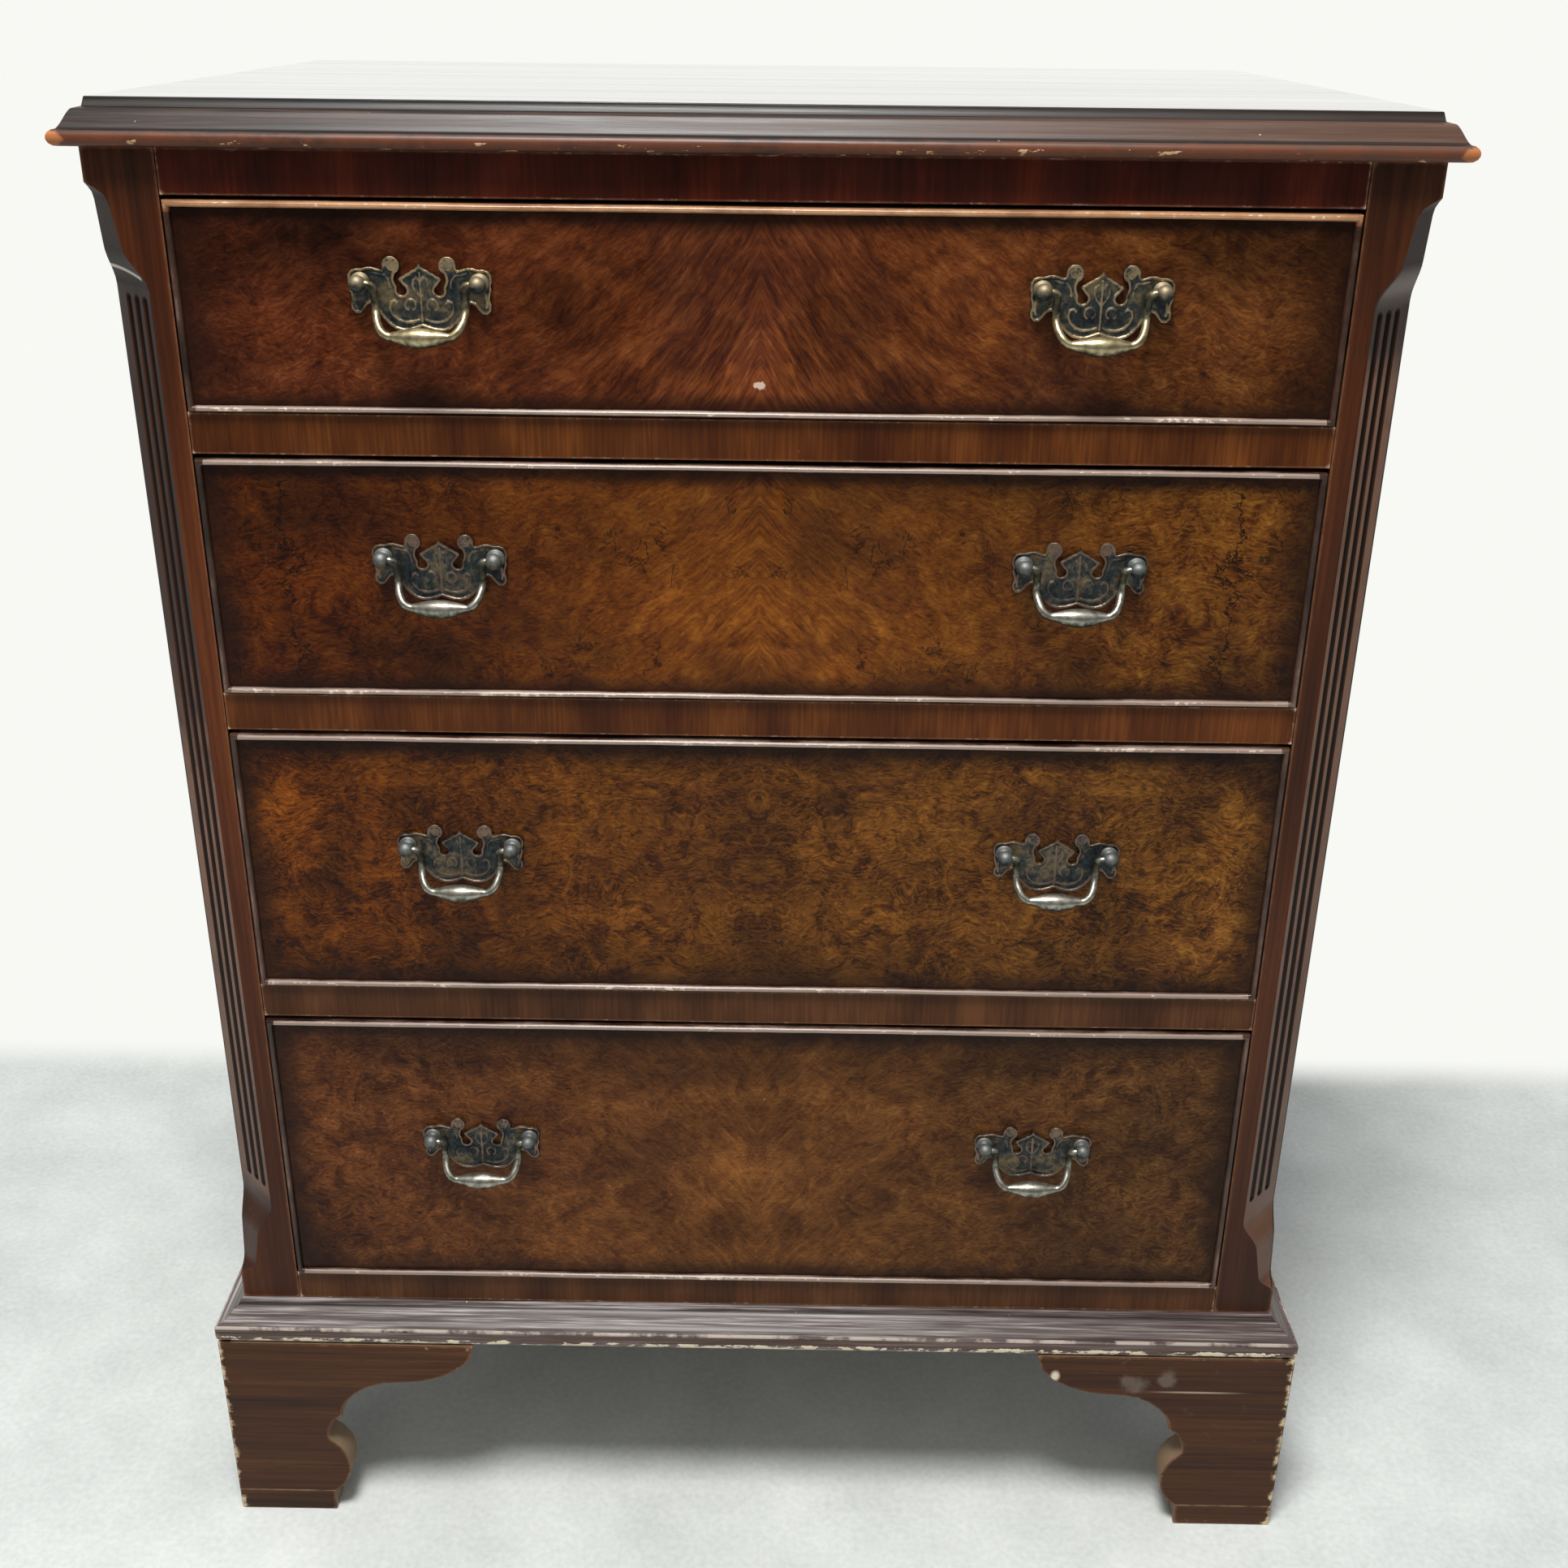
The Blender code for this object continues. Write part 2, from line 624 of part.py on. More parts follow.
def bottom_board(name, parent):
    """The floor of the case. Its front edge shows between the posts."""
    wide = SIDE_INNER + REBATE_DEPTH - GLUE_GAP
    shoulder = POST_DEPTH + GLUE_GAP
    back = BACK_FRONT - GLUE_GAP
    low = (-wide, 0.0, CASE_LOW + GLUE_GAP)
    board = box(name, low, (wide, back, FLOOR_OF_LOWEST), CROSSBAND, parent)
    notches = []
    for side in (-1, 1):
        inner = side * (HALF_OPENING - GLUE_GAP)
        outer = side * (HALF_CASE + EXTRA)
        low = (min(inner, outer), -EXTRA, CASE_LOW - EXTRA)
        high = (max(inner, outer), shoulder, FLOOR_OF_LOWEST + EXTRA)
        notches.append(box_mesh("notch", low, high))
    cut(board, joined_mesh("notches", notches), "post_notches")
    for side, word in ((-1, "left"), (1, "right")):
        inner = side * HALF_OPENING
        outer = side * (SIDE_INNER - GLUE_GAP)
        low = (min(inner, outer), shoulder + GUIDE_INSET, FLOOR_OF_LOWEST - EXTRA / 2)
        high = (max(inner, outer), back - GUIDE_INSET, FLOOR_OF_LOWEST + GUIDE_HEIGHT)
        fuse(board, box_mesh("guide", low, high), f"{word}_guide")
    add_stops(board, FLOOR_OF_LOWEST)
    return board


def kicker_frame(name, parent):
    """Two kickers over the top drawer's sides, joined by a rail at the back."""
    half = SIDE_INNER - GLUE_GAP
    front = POST_DEPTH + GLUE_GAP
    back = BACK_FRONT - GLUE_GAP
    piece = box(name, (-half, front, OPENINGS_HIGH), (half, back, CASE_HIGH), PINE, parent)
    inside = HALF_OPENING - KICKER_WIDTH
    low = (-inside, front - EXTRA, OPENINGS_HIGH - EXTRA)
    high = (inside, back - KICKER_WIDTH, CASE_HIGH + EXTRA)
    return cut(piece, box_mesh("gap", low, high), "gap")


# Bracket feet
def scroll_outline():
    """A scrolled bracket as (distance from the foot's outer corner, height), clockwise."""
    lobe_chord = LOBE_HEIGHT / 2
    lobe_radius = (lobe_chord**2 + LOBE_BULGE**2) / (2 * LOBE_BULGE)
    lobe_swing = math.degrees(math.asin(lobe_chord / lobe_radius))
    lobe_middle = (ANKLE_WIDTH + LOBE_BULGE - lobe_radius, ANKLE_HEIGHT + lobe_chord)
    lobe = arc(lobe_middle, (lobe_radius, lobe_radius), -lobe_swing, lobe_swing, FOOT_STEPS)
    lobe_top = ANKLE_HEIGHT + LOBE_HEIGHT
    hollow_radii = (CUSP_WIDTH - ANKLE_WIDTH, CUSP_HEIGHT - lobe_top)
    hollow = arc((CUSP_WIDTH, lobe_top), hollow_radii, 180.0, 90.0, 4)
    arch_radii = (ARCH_WIDTH - CUSP_WIDTH, ARCH_HEIGHT - CUSP_HEIGHT)
    arch = arc((ARCH_WIDTH, CUSP_HEIGHT), arch_radii, 180.0, 90.0, FOOT_STEPS)
    top = FOOT_HEIGHT
    ear_radii = (BRACKET_LENGTH - ARCH_WIDTH, top - ARCH_HEIGHT)
    ear = arc((ARCH_WIDTH, top), ear_radii, -90.0, 0.0, FOOT_STEPS)
    return [(0.0, 0.0), (ANKLE_WIDTH, 0.0)] + lobe + hollow[1:] + arch[1:] + ear[1:] + [(0.0, top)]


def rear_outline():
    """The plain bracket at the back of a rear foot."""
    knee = (REAR_ANKLE_WIDTH, REAR_BRACKET_RISE)
    top = FOOT_HEIGHT
    return [(0.0, 0.0), (REAR_ANKLE_WIDTH, 0.0), knee, (REAR_BRACKET_LENGTH, top), (0.0, top)]


def foot(name, side, rear, parent):
    """Two brackets that meet at the corner, and the glue block behind them."""
    corner_x = side * (HALF_CASE + FOOT_OVERHANG)
    corner_y = CASE_DEPTH if rear else -FOOT_OVERHANG
    into = -1 if rear else 1
    facing = rear_outline() if rear else scroll_outline()
    outline = [(corner_x - side * out, height) for out, height in facing]
    near = corner_y
    far = corner_y + into * BRACKET_THICK
    mesh = slab_mesh(name, [outline], min(near, far), max(near, far))
    piece = place(node(name, mesh, MAHOGANY), parent)
    outline = [(corner_y + into * out, height) for out, height in scroll_outline()]
    inner_x = corner_x - side * BRACKET_THICK
    bracket = slab_mesh(
        "bracket", [outline], min(corner_x, inner_x), max(corner_x, inner_x), "YZ"
    )
    fuse(piece, bracket, "side_bracket")
    lap = BRACKET_THICK / 2
    start = (corner_x - side * lap, corner_y + into * lap)
    end = (start[0] - side * (lap + BLOCK_SIZE), start[1] + into * (lap + BLOCK_SIZE))
    low = (min(start[0], end[0]), min(start[1], end[1]), BLOCK_LIFT)
    high = (max(start[0], end[0]), max(start[1], end[1]), FOOT_HEIGHT - BLOCK_LIFT / 2)
    fuse(piece, box_mesh("block", low, high), "glue_block")
    return piece


# Drawers, each in its own frame: x = 0 in the middle, y = 0 at the front face, z = 0 at the front's
# lower edge
def tails(low, high, shoulder, tip, gap=0.0):
    """Outlines in the YZ plane of the dovetails between two heights, grown by a gap."""
    count = max(2, round((high - low) / TAIL_PITCH))
    pitch = (high - low) / count
    half_wide = pitch * TAIL_SHARE / 2
    half_narrow = half_wide - abs(tip - shoulder) * TAIL_SLOPE
    outlines = []
    for index in range(count):
        middle = low + (index + 0.5) * pitch
        outlines.append(
            [
                (shoulder, middle - half_narrow - gap),
                (tip, middle - half_wide - gap),
                (tip, middle + half_wide + gap),
                (shoulder, middle + half_narrow + gap),
            ]
        )
    return outlines


class Drawer:
    """Sizes of one drawer, which its six pieces share."""

    def __init__(self, height):
        self.height = height
        self.side_low = GLUE_GAP - FOOT_GAP
        self.side_high = height - SIDE_DROP
        self.back_low = PANEL_LIFT + PANEL_THICK + GLUE_GAP
        self.back_high = height - BACK_DROP
        self.front_joint = (BEAD_THICK, self.side_high)
        self.back_joint = (self.back_low, self.back_high)
        self.front_shoulder = FRONT_THICK + GLUE_GAP
        self.front_tip = self.front_shoulder - TAIL_LENGTH
        self.back_shoulder = DRAWER_LENGTH - DRAWER_BACK_THICK - GLUE_GAP
        self.back_tip = DRAWER_LENGTH
        self.panel_half = HALF_DRAWER - DRAWER_SIDE_THICK + GROOVE_DEPTH - GLUE_GAP
        self.panel_front = FRONT_THICK - GROOVE_DEPTH + GLUE_GAP
        self.handle_height = height / 2 + HANDLE_LIFT


def socket_meshes(low, high, shoulder, tip, past_tip):
    """Prisms that clear the tails of both sides, run a little past the face that the side meets."""
    meshes = []
    slope_run = 0.001
    away = 1 if shoulder > tip else -1
    for outline in tails(low, high, shoulder, tip, GLUE_GAP):
        (_, low_s), (_, low_t), (_, high_t), (_, high_s) = outline
        outline = [
            (shoulder + away * slope_run, low_s),
            (shoulder, low_s),
            (tip - away * GLUE_GAP, low_t),
            (tip - away * (GLUE_GAP + past_tip), low_t),
            (tip - away * (GLUE_GAP + past_tip), high_t),
            (tip - away * GLUE_GAP, high_t),
            (shoulder, high_s),
            (shoulder + away * slope_run, high_s),
        ]
        if past_tip == 0.0:
            del outline[3:5]
        inner = HALF_DRAWER - DRAWER_SIDE_THICK - GLUE_GAP
        outer = HALF_DRAWER + EXTRA
        meshes.append(slab_mesh("socket", [outline], inner, outer, "YZ"))
        meshes.append(slab_mesh("socket", [outline], -outer, -inner, "YZ"))
    return meshes


def groove_mesh(drawer):
    """Room for the drawer's bottom panel in the front and in both sides."""
    half = drawer.panel_half + GLUE_GAP
    low = (-half, drawer.panel_front - GLUE_GAP, PANEL_LIFT - GLUE_GAP)
    high = (half, DRAWER_LENGTH + EXTRA, PANEL_LIFT + PANEL_THICK + GLUE_GAP)
    return box_mesh("groove", low, high)


def drawer_front(name, drawer, parent):
    """The front board, with a rebate for the bead, sockets, a groove and the handles' bores."""
    shape = bmesh.new()
    bmesh.ops.create_cube(shape, size=1.0)
    rear_depth = FRONT_THICK - BEAD_DEPTH
    bmesh.ops.scale(shape, vec=(2 * HALF_DRAWER, rear_depth, drawer.height), verts=shape.verts)
    middle = (0.0, BEAD_DEPTH + rear_depth / 2, drawer.height / 2)
    bmesh.ops.translate(shape, vec=middle, verts=shape.verts)
    face = min(shape.faces, key=lambda item: item.calc_center_median().y)
    bmesh.ops.inset_region(shape, faces=[face], thickness=BEAD_THICK + GLUE_GAP)
    raised = bmesh.ops.extrude_face_region(shape, geom=[face])["geom"]
    bmesh.ops.delete(shape, geom=[face], context="FACES_ONLY")
    lifted = [item for item in raised if isinstance(item, bmesh.types.BMVert)]
    bmesh.ops.translate(shape, vec=(0.0, -BEAD_DEPTH, 0.0), verts=lifted)
    piece = place(node(name, finished(shape, name), WALNUT), parent)
    sockets = socket_meshes(*drawer.front_joint, drawer.front_shoulder, drawer.front_tip, 0.0)
    cut(piece, joined_mesh("sockets", sockets), "sockets")
    cut(piece, groove_mesh(drawer), "groove")
    bores = []
    for handle in (-1, 1):
        for post in (-1, 1):
            x = handle * HANDLE_SPACING / 2 + post * POST_SPACING / 2
            middle = (x, 0.0, drawer.handle_height)
            bores.append(rod_mesh(middle, SHANK_RADIUS + GLUE_GAP, 2 * FRONT_THICK + EXTRA, "Y"))
    cut(piece, joined_mesh("bores", bores), "bores")
    return piece


def rod_mesh(middle, radius, length, axis):
    """A round cutter about an axis, X or Y, whose flats lie on the radius."""
    shape = bmesh.new()
    flats = radius / math.cos(math.pi / ROUND_SIDES)
    bmesh.ops.create_cone(
        shape, cap_ends=True, segments=ROUND_SIDES, radius1=flats, radius2=flats, depth=length
    )
    turn = Matrix.Rotation(math.pi / 2, 3, "Y" if axis == "X" else "X")
    bmesh.ops.rotate(shape, cent=(0, 0, 0), matrix=turn, verts=shape.verts)
    bmesh.ops.translate(shape, vec=middle, verts=shape.verts)
    return finished(shape, "rod")


def cock_bead(name, drawer, parent):
    """A thin frame round the front, with a rounded nose that stands proud."""
    shape = bmesh.new()
    bmesh.ops.create_cube(shape, size=1.0)
    depth = BEAD_DEPTH + BEAD_PROUD - GLUE_GAP
    bmesh.ops.scale(shape, vec=(2 * HALF_DRAWER, depth, drawer.height), verts=shape.verts)
    middle = (0.0, depth / 2 - BEAD_PROUD, drawer.height / 2)
    bmesh.ops.translate(shape, vec=middle, verts=shape.verts)
    caps = [item for item in shape.faces if abs(item.normal.y) > 0.5]
    bmesh.ops.inset_individual(shape, faces=caps, thickness=BEAD_THICK)
    rims = [edge for cap in caps for edge in cap.edges]
    bmesh.ops.delete(shape, geom=caps, context="FACES_ONLY")
    bmesh.ops.bridge_loops(shape, edges=rims)
    nose = [
        edge
        for edge in shape.edges
        if all(vert.co.y < 1e-6 - BEAD_PROUD for vert in edge.verts) and len(edge.link_faces) == 2
    ]
    nose = [edge for edge in nose if edge.calc_face_angle() > 1.0]
    bmesh.ops.bevel(
        shape,
        geom=nose,
        offset=BEAD_THICK * 0.45,
        segments=3,
        profile=0.5,
        affect="EDGES",
        material=-1,
    )
    return place(node(name, finished(shape, name), WORN_BEAD), parent)


def drawer_side(name, side, drawer, parent):
    """A side board with dovetails at both ends, grooved for the bottom panel."""
    front = []
    for outline in tails(*drawer.front_joint, drawer.front_shoulder, drawer.front_tip):
        front += outline
    back = []
    for outline in tails(*drawer.back_joint, drawer.back_shoulder, drawer.back_tip):
        back += outline
    lower_back = [(drawer.back_tip, drawer.side_low), (drawer.back_tip, drawer.back_low - GLUE_GAP)]
    lower_back.append((drawer.back_shoulder, drawer.back_low - GLUE_GAP))
    outline = [(drawer.front_shoulder, drawer.side_high)]
    outline += list(reversed(front))
    outline += [(drawer.front_shoulder, drawer.side_low)]
    outline += lower_back + back + [(drawer.back_shoulder, drawer.side_high)]
    inner = side * (HALF_DRAWER - DRAWER_SIDE_THICK)
    outer = side * HALF_DRAWER
    mesh = slab_mesh(name, [outline], min(inner, outer), max(inner, outer), "YZ")
    piece = place(node(name, mesh, PINE), parent)
    cut(piece, groove_mesh(drawer), "groove")
    return piece


def drawer_back(name, drawer, parent):
    low = (-HALF_DRAWER, DRAWER_LENGTH - DRAWER_BACK_THICK, drawer.back_low)
    high = (HALF_DRAWER, DRAWER_LENGTH, drawer.back_high)
    piece = box(name, low, high, PINE, parent)
    sockets = socket_meshes(*drawer.back_joint, drawer.back_shoulder, drawer.back_tip, EXTRA)
    cut(piece, joined_mesh("sockets", sockets), "sockets")
    return piece


def drawer_bottom(name, drawer, parent):
    low = (-drawer.panel_half, drawer.panel_front, PANEL_LIFT)
    high = (drawer.panel_half, DRAWER_LENGTH, PANEL_LIFT + PANEL_THICK)
    return box(name, low, high, PINE, parent)


# Handles, each in its own frame: the origin is on the drawer front, level with the bail's axis
def plate_outline():
    """The pierced plate as one outline of (x, z), from its right half.

    The half runs clockwise from the dome's top: the dome, the comma-shaped piercing, the ear, the
    wing with its drop, and the shield. It is drawn one unit wide and one unit deep.
    """
    dome = [(0.0, 0.345), (0.064, 0.260), (0.133, 0.189), (0.209, 0.118), (0.278, 0.044)]
    piercing = [(0.245, -0.018)] + arc((0.213, -0.146), (0.088, 0.096), 105.0, 350.0, 8)
    piercing.append((0.322, 0.061))
    ear = arc((0.388, 0.351), (0.113, 0.171), 235.0, -10.0, 7)
    wing = [
        (0.594, 0.281),
        (0.710, 0.307),
        (0.841, 0.272),
        (0.965, 0.228),
        (1.000, 0.132),
        (0.988, -0.132),
        (0.954, -0.351),
        (0.965, -0.535),
        (0.907, -0.658),
        (0.809, -0.605),
        (0.748, -0.456),
        (0.655, -0.430),
    ]
    shield = [
        (0.591, -0.570),
        (0.539, -0.711),
        (0.441, -0.877),
        (0.342, -0.982),
        (0.226, -1.000),
        (0.104, -0.974),
        (0.0, -0.921),
    ]
    half = POST_SPACING / 2 + PLATE_MARGIN
    right = [(a * half, b * PLATE_DROP) for a, b in dome + piercing + ear + wing + shield]
    return right + mirrored(right)[1:-1]


def turned_post(x):
    """A post with its ball, neck and collar, its shank through the front and its nut."""
    plate_face = PLATE_THICK + GLUE_GAP
    in_plate = plate_face - PLATE_THICK / 2
    nut_face = -FRONT_THICK - GLUE_GAP
    ball_radii = (POST_BALL_RADIUS, POST_BALL_RADIUS)
    profile = arc((0.0, POST_REACH), ball_radii, 90.0, -55.0, 5) + [
        (POST_NECK_RADIUS, plate_face + COLLAR_THICK + (COLLAR_RADIUS - POST_NECK_RADIUS) / 6),
        (COLLAR_RADIUS, plate_face + COLLAR_THICK),
        (COLLAR_RADIUS, in_plate),
        (SHANK_RADIUS, in_plate),
        (SHANK_RADIUS, nut_face),
        (NUT_RADIUS, nut_face),
        (NUT_RADIUS, nut_face - NUT_THICK),
        (0.0, nut_face - NUT_THICK),
    ]
    forward = Matrix.Translation((x, 0.0, 0.0)) @ Matrix.Rotation(math.pi / 2, 4, "X")
    return turned_mesh("post", profile, ROUND_SIDES, forward)


def plate_mesh():
    """The plate with its posts, made once and shared by the eight handles."""
    low = -PLATE_THICK - GLUE_GAP
    model = node("plate_model", slab_mesh("plate", [plate_outline()], low, -GLUE_GAP), BRONZE)
    for side, word in ((-1, "left"), (1, "right")):
        fuse(model, turned_post(side * POST_SPACING / 2), f"{word}_post")
    start = POST_SPACING / 2 - POST_BALL_RADIUS
    reach = 2 * (start + PIVOT_DEPTH + GLUE_GAP)
    bore = rod_mesh((0.0, -POST_REACH, 0.0), PIVOT_RADIUS + PIVOT_GAP, reach, "X")
    cut(model, bore, "pivot_bore")
    return baked(model, "handle_plate")


def baked(model, name):
    """The evaluated mesh of a model, which is then removed with its helpers."""
    bpy.context.view_layer.update()
    graph = bpy.context.evaluated_depsgraph_get()
    mesh = bpy.data.meshes.new_from_object(model.evaluated_get(graph))
    mesh.name = name
    for modifier in list(model.modifiers):
        helper = modifier.object
        model.modifiers.remove(modifier)
        bpy.data.objects.remove(helper)
    bpy.data.objects.remove(model)
    return mesh


def bail_mesh():
    """A swan-neck bail that hangs from its axis, in the axis's frame.

    Each arm bends back until it rests on the plate, and then forward to the grip. The points are
    (x, height, distance behind the axis, radius), from a pivot to the grip's middle.
    """
    arm = POST_SPACING / 2 - ARM_INSET
    end = POST_SPACING / 2 - POST_BALL_RADIUS + PIVOT_DEPTH
    corner = GRIP_WIDTH / 2
    back = POST_REACH - PLATE_THICK - 2 * GLUE_GAP - ARM_RADIUS
    elbow = (end - PIVOT_DEPTH - arm) / 2
    half = [
        (end, 0.0, 0.0, PIVOT_RADIUS),
        (arm + elbow, 0.0, 0.0, PIVOT_RADIUS),
        (arm + elbow * 0.25, -0.03 * GRIP_DROP, 0.10 * back, ARM_RADIUS * 0.92),
        (arm, -0.11 * GRIP_DROP, 0.42 * back, ARM_RADIUS),
        (arm, -0.24 * GRIP_DROP, 0.90 * back, ARM_RADIUS),
        (arm, -0.35 * GRIP_DROP, back, ARM_RADIUS),
    ]
    sweep_start = half[-1]
    for step in range(1, 6):
        turn = math.pi / 2 * step / 5
        x = corner + (arm - corner) * math.cos(turn) ** 0.75
        height = sweep_start[1] + (-GRIP_DROP - sweep_start[1]) * math.sin(turn) ** 1.15
        share = (height - sweep_start[1]) / (-GRIP_DROP - sweep_start[1])
        depth = back + (-GRIP_FORWARD - back) * share * share * (3 - 2 * share)
        half.append((x, height, depth, ARM_RADIUS * (1 + 0.12 * share)))
    for share in (0.30, 0.65, 1.0):
        rise = GRIP_ARCH * math.sin(math.pi / 2 * share)
        swell = ARM_RADIUS * 1.12 + (GRIP_RADIUS - ARM_RADIUS * 1.12) * math.sin(math.pi / 2 * share)
        half.append((corner * (1 - share), -GRIP_DROP + rise, -GRIP_FORWARD, swell))
    path = half + [(-x, height, depth, radius) for x, height, depth, radius in reversed(half[:-1])]
    curve = bpy.data.curves.new("bail", "CURVE")
    curve.dimensions = "3D"
    curve.bevel_depth = ARM_RADIUS
    curve.bevel_resolution = 2
    curve.use_fill_caps = True
    spline = curve.splines.new("POLY")
    spline.points.add(len(path) - 1)
    for point, (x, height, depth, radius) in zip(spline.points, path):
        point.co = (x, depth, height, 1.0)
        point.radius = radius / ARM_RADIUS
    guide = bpy.data.objects.new("bail", curve)
    cutters.objects.link(guide)
    return mesh_of(guide, "bail")


# The chest
chest = frame_at("chest", (0.0, FRONT_Y, 0.0))

moulded_slab("top_board", top_edge(), DARK_EDGE, chest)
for word, side in (("left", -1), ("right", 1)):
    side_panel(f"{word}_side_panel", side, chest)
    corner_post(f"{word}_corner_post", side, chest)
half_back = SIDE_INNER + REBATE_DEPTH - GLUE_GAP
box(
    "back_panel",
    (-half_back, BACK_FRONT, CASE_LOW + GLUE_GAP),
    (half_back, CASE_DEPTH, CASE_HIGH),
    PINE,
    chest,
)
rail("frieze_rail", OPENINGS_HIGH, CASE_HIGH, FRIEZE_DEPTH, CROSSBAND, chest)
for index, word in enumerate(("upper", "middle", "lower")):
    surface = opening_low(index)
    divider = rail(
        f"{word}_divider_rail", surface - RAIL_HEIGHT, surface, RAIL_DEPTH, CROSSBAND, chest
    )
    add_stops(divider, surface)
    dust_board(f"{word}_dust_board", surface, chest)
bottom_board("bottom_board", chest)
kicker_frame("top_kicker_frame", chest)
base = moulded_slab("base_frame", frame_edge(), MAHOGANY, chest)
inside = HALF_CASE + FRAME_OVERHANG - FRAME_WIDTH
window_low = (-inside, FRAME_WIDTH - FRAME_OVERHANG, FOOT_HEIGHT - EXTRA)
window_high = (inside, CASE_DEPTH - FRAME_WIDTH, CASE_LOW + EXTRA)
cut(base, box_mesh("window", window_low, window_high), "window")
for word, side in (("left", -1), ("right", 1)):
    foot(f"front_{word}_foot", side, False, chest)
    foot(f"rear_{word}_foot", side, True, chest)

plate = plate_mesh()
bail = bail_mesh()
for index, (word, height) in enumerate(zip(DRAWER_NAMES, FRONT_HEIGHTS)):
    sizes = Drawer(height)
    frame = frame_at(f"{word}_drawer", (0.0, 0.0, opening_low(index) + FOOT_GAP), chest)
    drawer_front(f"{word}_drawer_front", sizes, frame)
    cock_bead(f"{word}_drawer_cock_bead", sizes, frame)
    drawer_side(f"{word}_drawer_left_side", -1, sizes, frame)
    drawer_side(f"{word}_drawer_right_side", 1, sizes, frame)
    drawer_back(f"{word}_drawer_back", sizes, frame)
    drawer_bottom(f"{word}_drawer_bottom", sizes, frame)
    for hand, side in (("left", -1), ("right", 1)):
        x = side * HANDLE_SPACING / 2
        fitted = smooth(node(f"{word}_{hand}_handle_plate", plate, BRONZE))
        place(fitted, frame, (x, 0.0, sizes.handle_height))
        swinging = smooth(node(f"{word}_{hand}_bail", bail, BRASS))
        place(swinging, frame, (x, -POST_REACH, sizes.handle_height))

bpy.context.view_layer.update()
print(f"chest: {CASE_WIDTH + 2 * FRAME_OVERHANG:.4f} wide, {CHEST_HEIGHT:.4f} high")
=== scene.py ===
# %% [markdown]
# # A small chest of drawers, dressed for its picture
#
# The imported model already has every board, rail, drawer and handle at its real size. This lesson gives
# them the look of a chest that has been used for decades: figured walnut fronts, waxed mahogany, worn
# beads and dark cast handles. Everything is in metres, and every object sits at the origin with its
# place in its mesh, so a pattern on Object coordinates is a pattern in real space.

# %% Load the model that everything is built around
import json
import math
from functools import partial

import bmesh
import bpy
from mathutils import Matrix, Vector, noise

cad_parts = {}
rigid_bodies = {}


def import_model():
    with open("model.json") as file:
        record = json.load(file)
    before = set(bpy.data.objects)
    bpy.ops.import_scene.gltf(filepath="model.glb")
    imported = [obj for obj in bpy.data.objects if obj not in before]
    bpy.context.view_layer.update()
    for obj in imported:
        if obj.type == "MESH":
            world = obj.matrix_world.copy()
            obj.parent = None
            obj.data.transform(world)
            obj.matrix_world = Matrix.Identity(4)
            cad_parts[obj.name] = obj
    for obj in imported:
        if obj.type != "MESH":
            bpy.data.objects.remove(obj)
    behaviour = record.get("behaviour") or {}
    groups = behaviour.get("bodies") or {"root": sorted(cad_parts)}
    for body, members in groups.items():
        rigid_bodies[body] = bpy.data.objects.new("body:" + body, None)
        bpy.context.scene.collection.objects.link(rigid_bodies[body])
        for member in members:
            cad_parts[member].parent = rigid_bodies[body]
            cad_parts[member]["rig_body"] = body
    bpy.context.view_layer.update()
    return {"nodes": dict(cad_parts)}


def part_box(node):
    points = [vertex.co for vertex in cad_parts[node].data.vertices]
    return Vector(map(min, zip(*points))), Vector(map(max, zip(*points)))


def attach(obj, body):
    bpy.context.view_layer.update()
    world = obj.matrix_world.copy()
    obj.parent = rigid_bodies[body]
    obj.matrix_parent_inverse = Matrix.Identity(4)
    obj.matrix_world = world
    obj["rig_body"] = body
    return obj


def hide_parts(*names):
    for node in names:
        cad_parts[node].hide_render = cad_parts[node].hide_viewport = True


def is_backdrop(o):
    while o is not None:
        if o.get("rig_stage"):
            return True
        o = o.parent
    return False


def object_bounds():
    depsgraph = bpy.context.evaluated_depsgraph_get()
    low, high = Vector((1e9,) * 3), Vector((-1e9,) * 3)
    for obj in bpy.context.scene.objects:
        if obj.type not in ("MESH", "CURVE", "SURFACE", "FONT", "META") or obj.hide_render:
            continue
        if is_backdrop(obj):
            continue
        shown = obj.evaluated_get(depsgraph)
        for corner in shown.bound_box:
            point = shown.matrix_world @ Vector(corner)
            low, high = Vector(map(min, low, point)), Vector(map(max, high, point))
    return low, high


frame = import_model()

nodes = frame["nodes"]

# %% [markdown]
# ## Places that the rest of the lesson needs
#
# The sizes are read from the model itself. The front plane of the case is where the corner posts
# start, and a drawer's bead gives the middle and the height that its veneer is laid out on.

# %% Planes and drawers
MM = 0.001
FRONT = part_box("left_corner_post")[0].y
DRAWERS = ("top", "second", "third", "bottom")
BEAD = 4.5 * MM

drawer_box = {word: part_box(f"{word}_drawer_cock_bead") for word in DRAWERS}
for word in DRAWERS:
    low, high = drawer_box[word]
    print(f"{word} drawer: {1000 * (high.x - low.x):.1f} x {1000 * (high.z - low.z):.1f} mm")


# %% [markdown]
# ## Small tools for the finishes
#
# Colours are written as they read in a paint program, and a shader wants linear values, so one
# function turns one into the other. A second one adds a shader node with its settings and its links
# and hands back the output that the next node needs. An operation follows the node's kind after a
# dot, inputs come in order or by name, and the names of settings are in small letters. The others do
# what a polisher does: start a finish, lay one colour over another where a mask says so, and bring it
# all together. A finish hands out its own `add`, which is that function for its own tree of nodes.

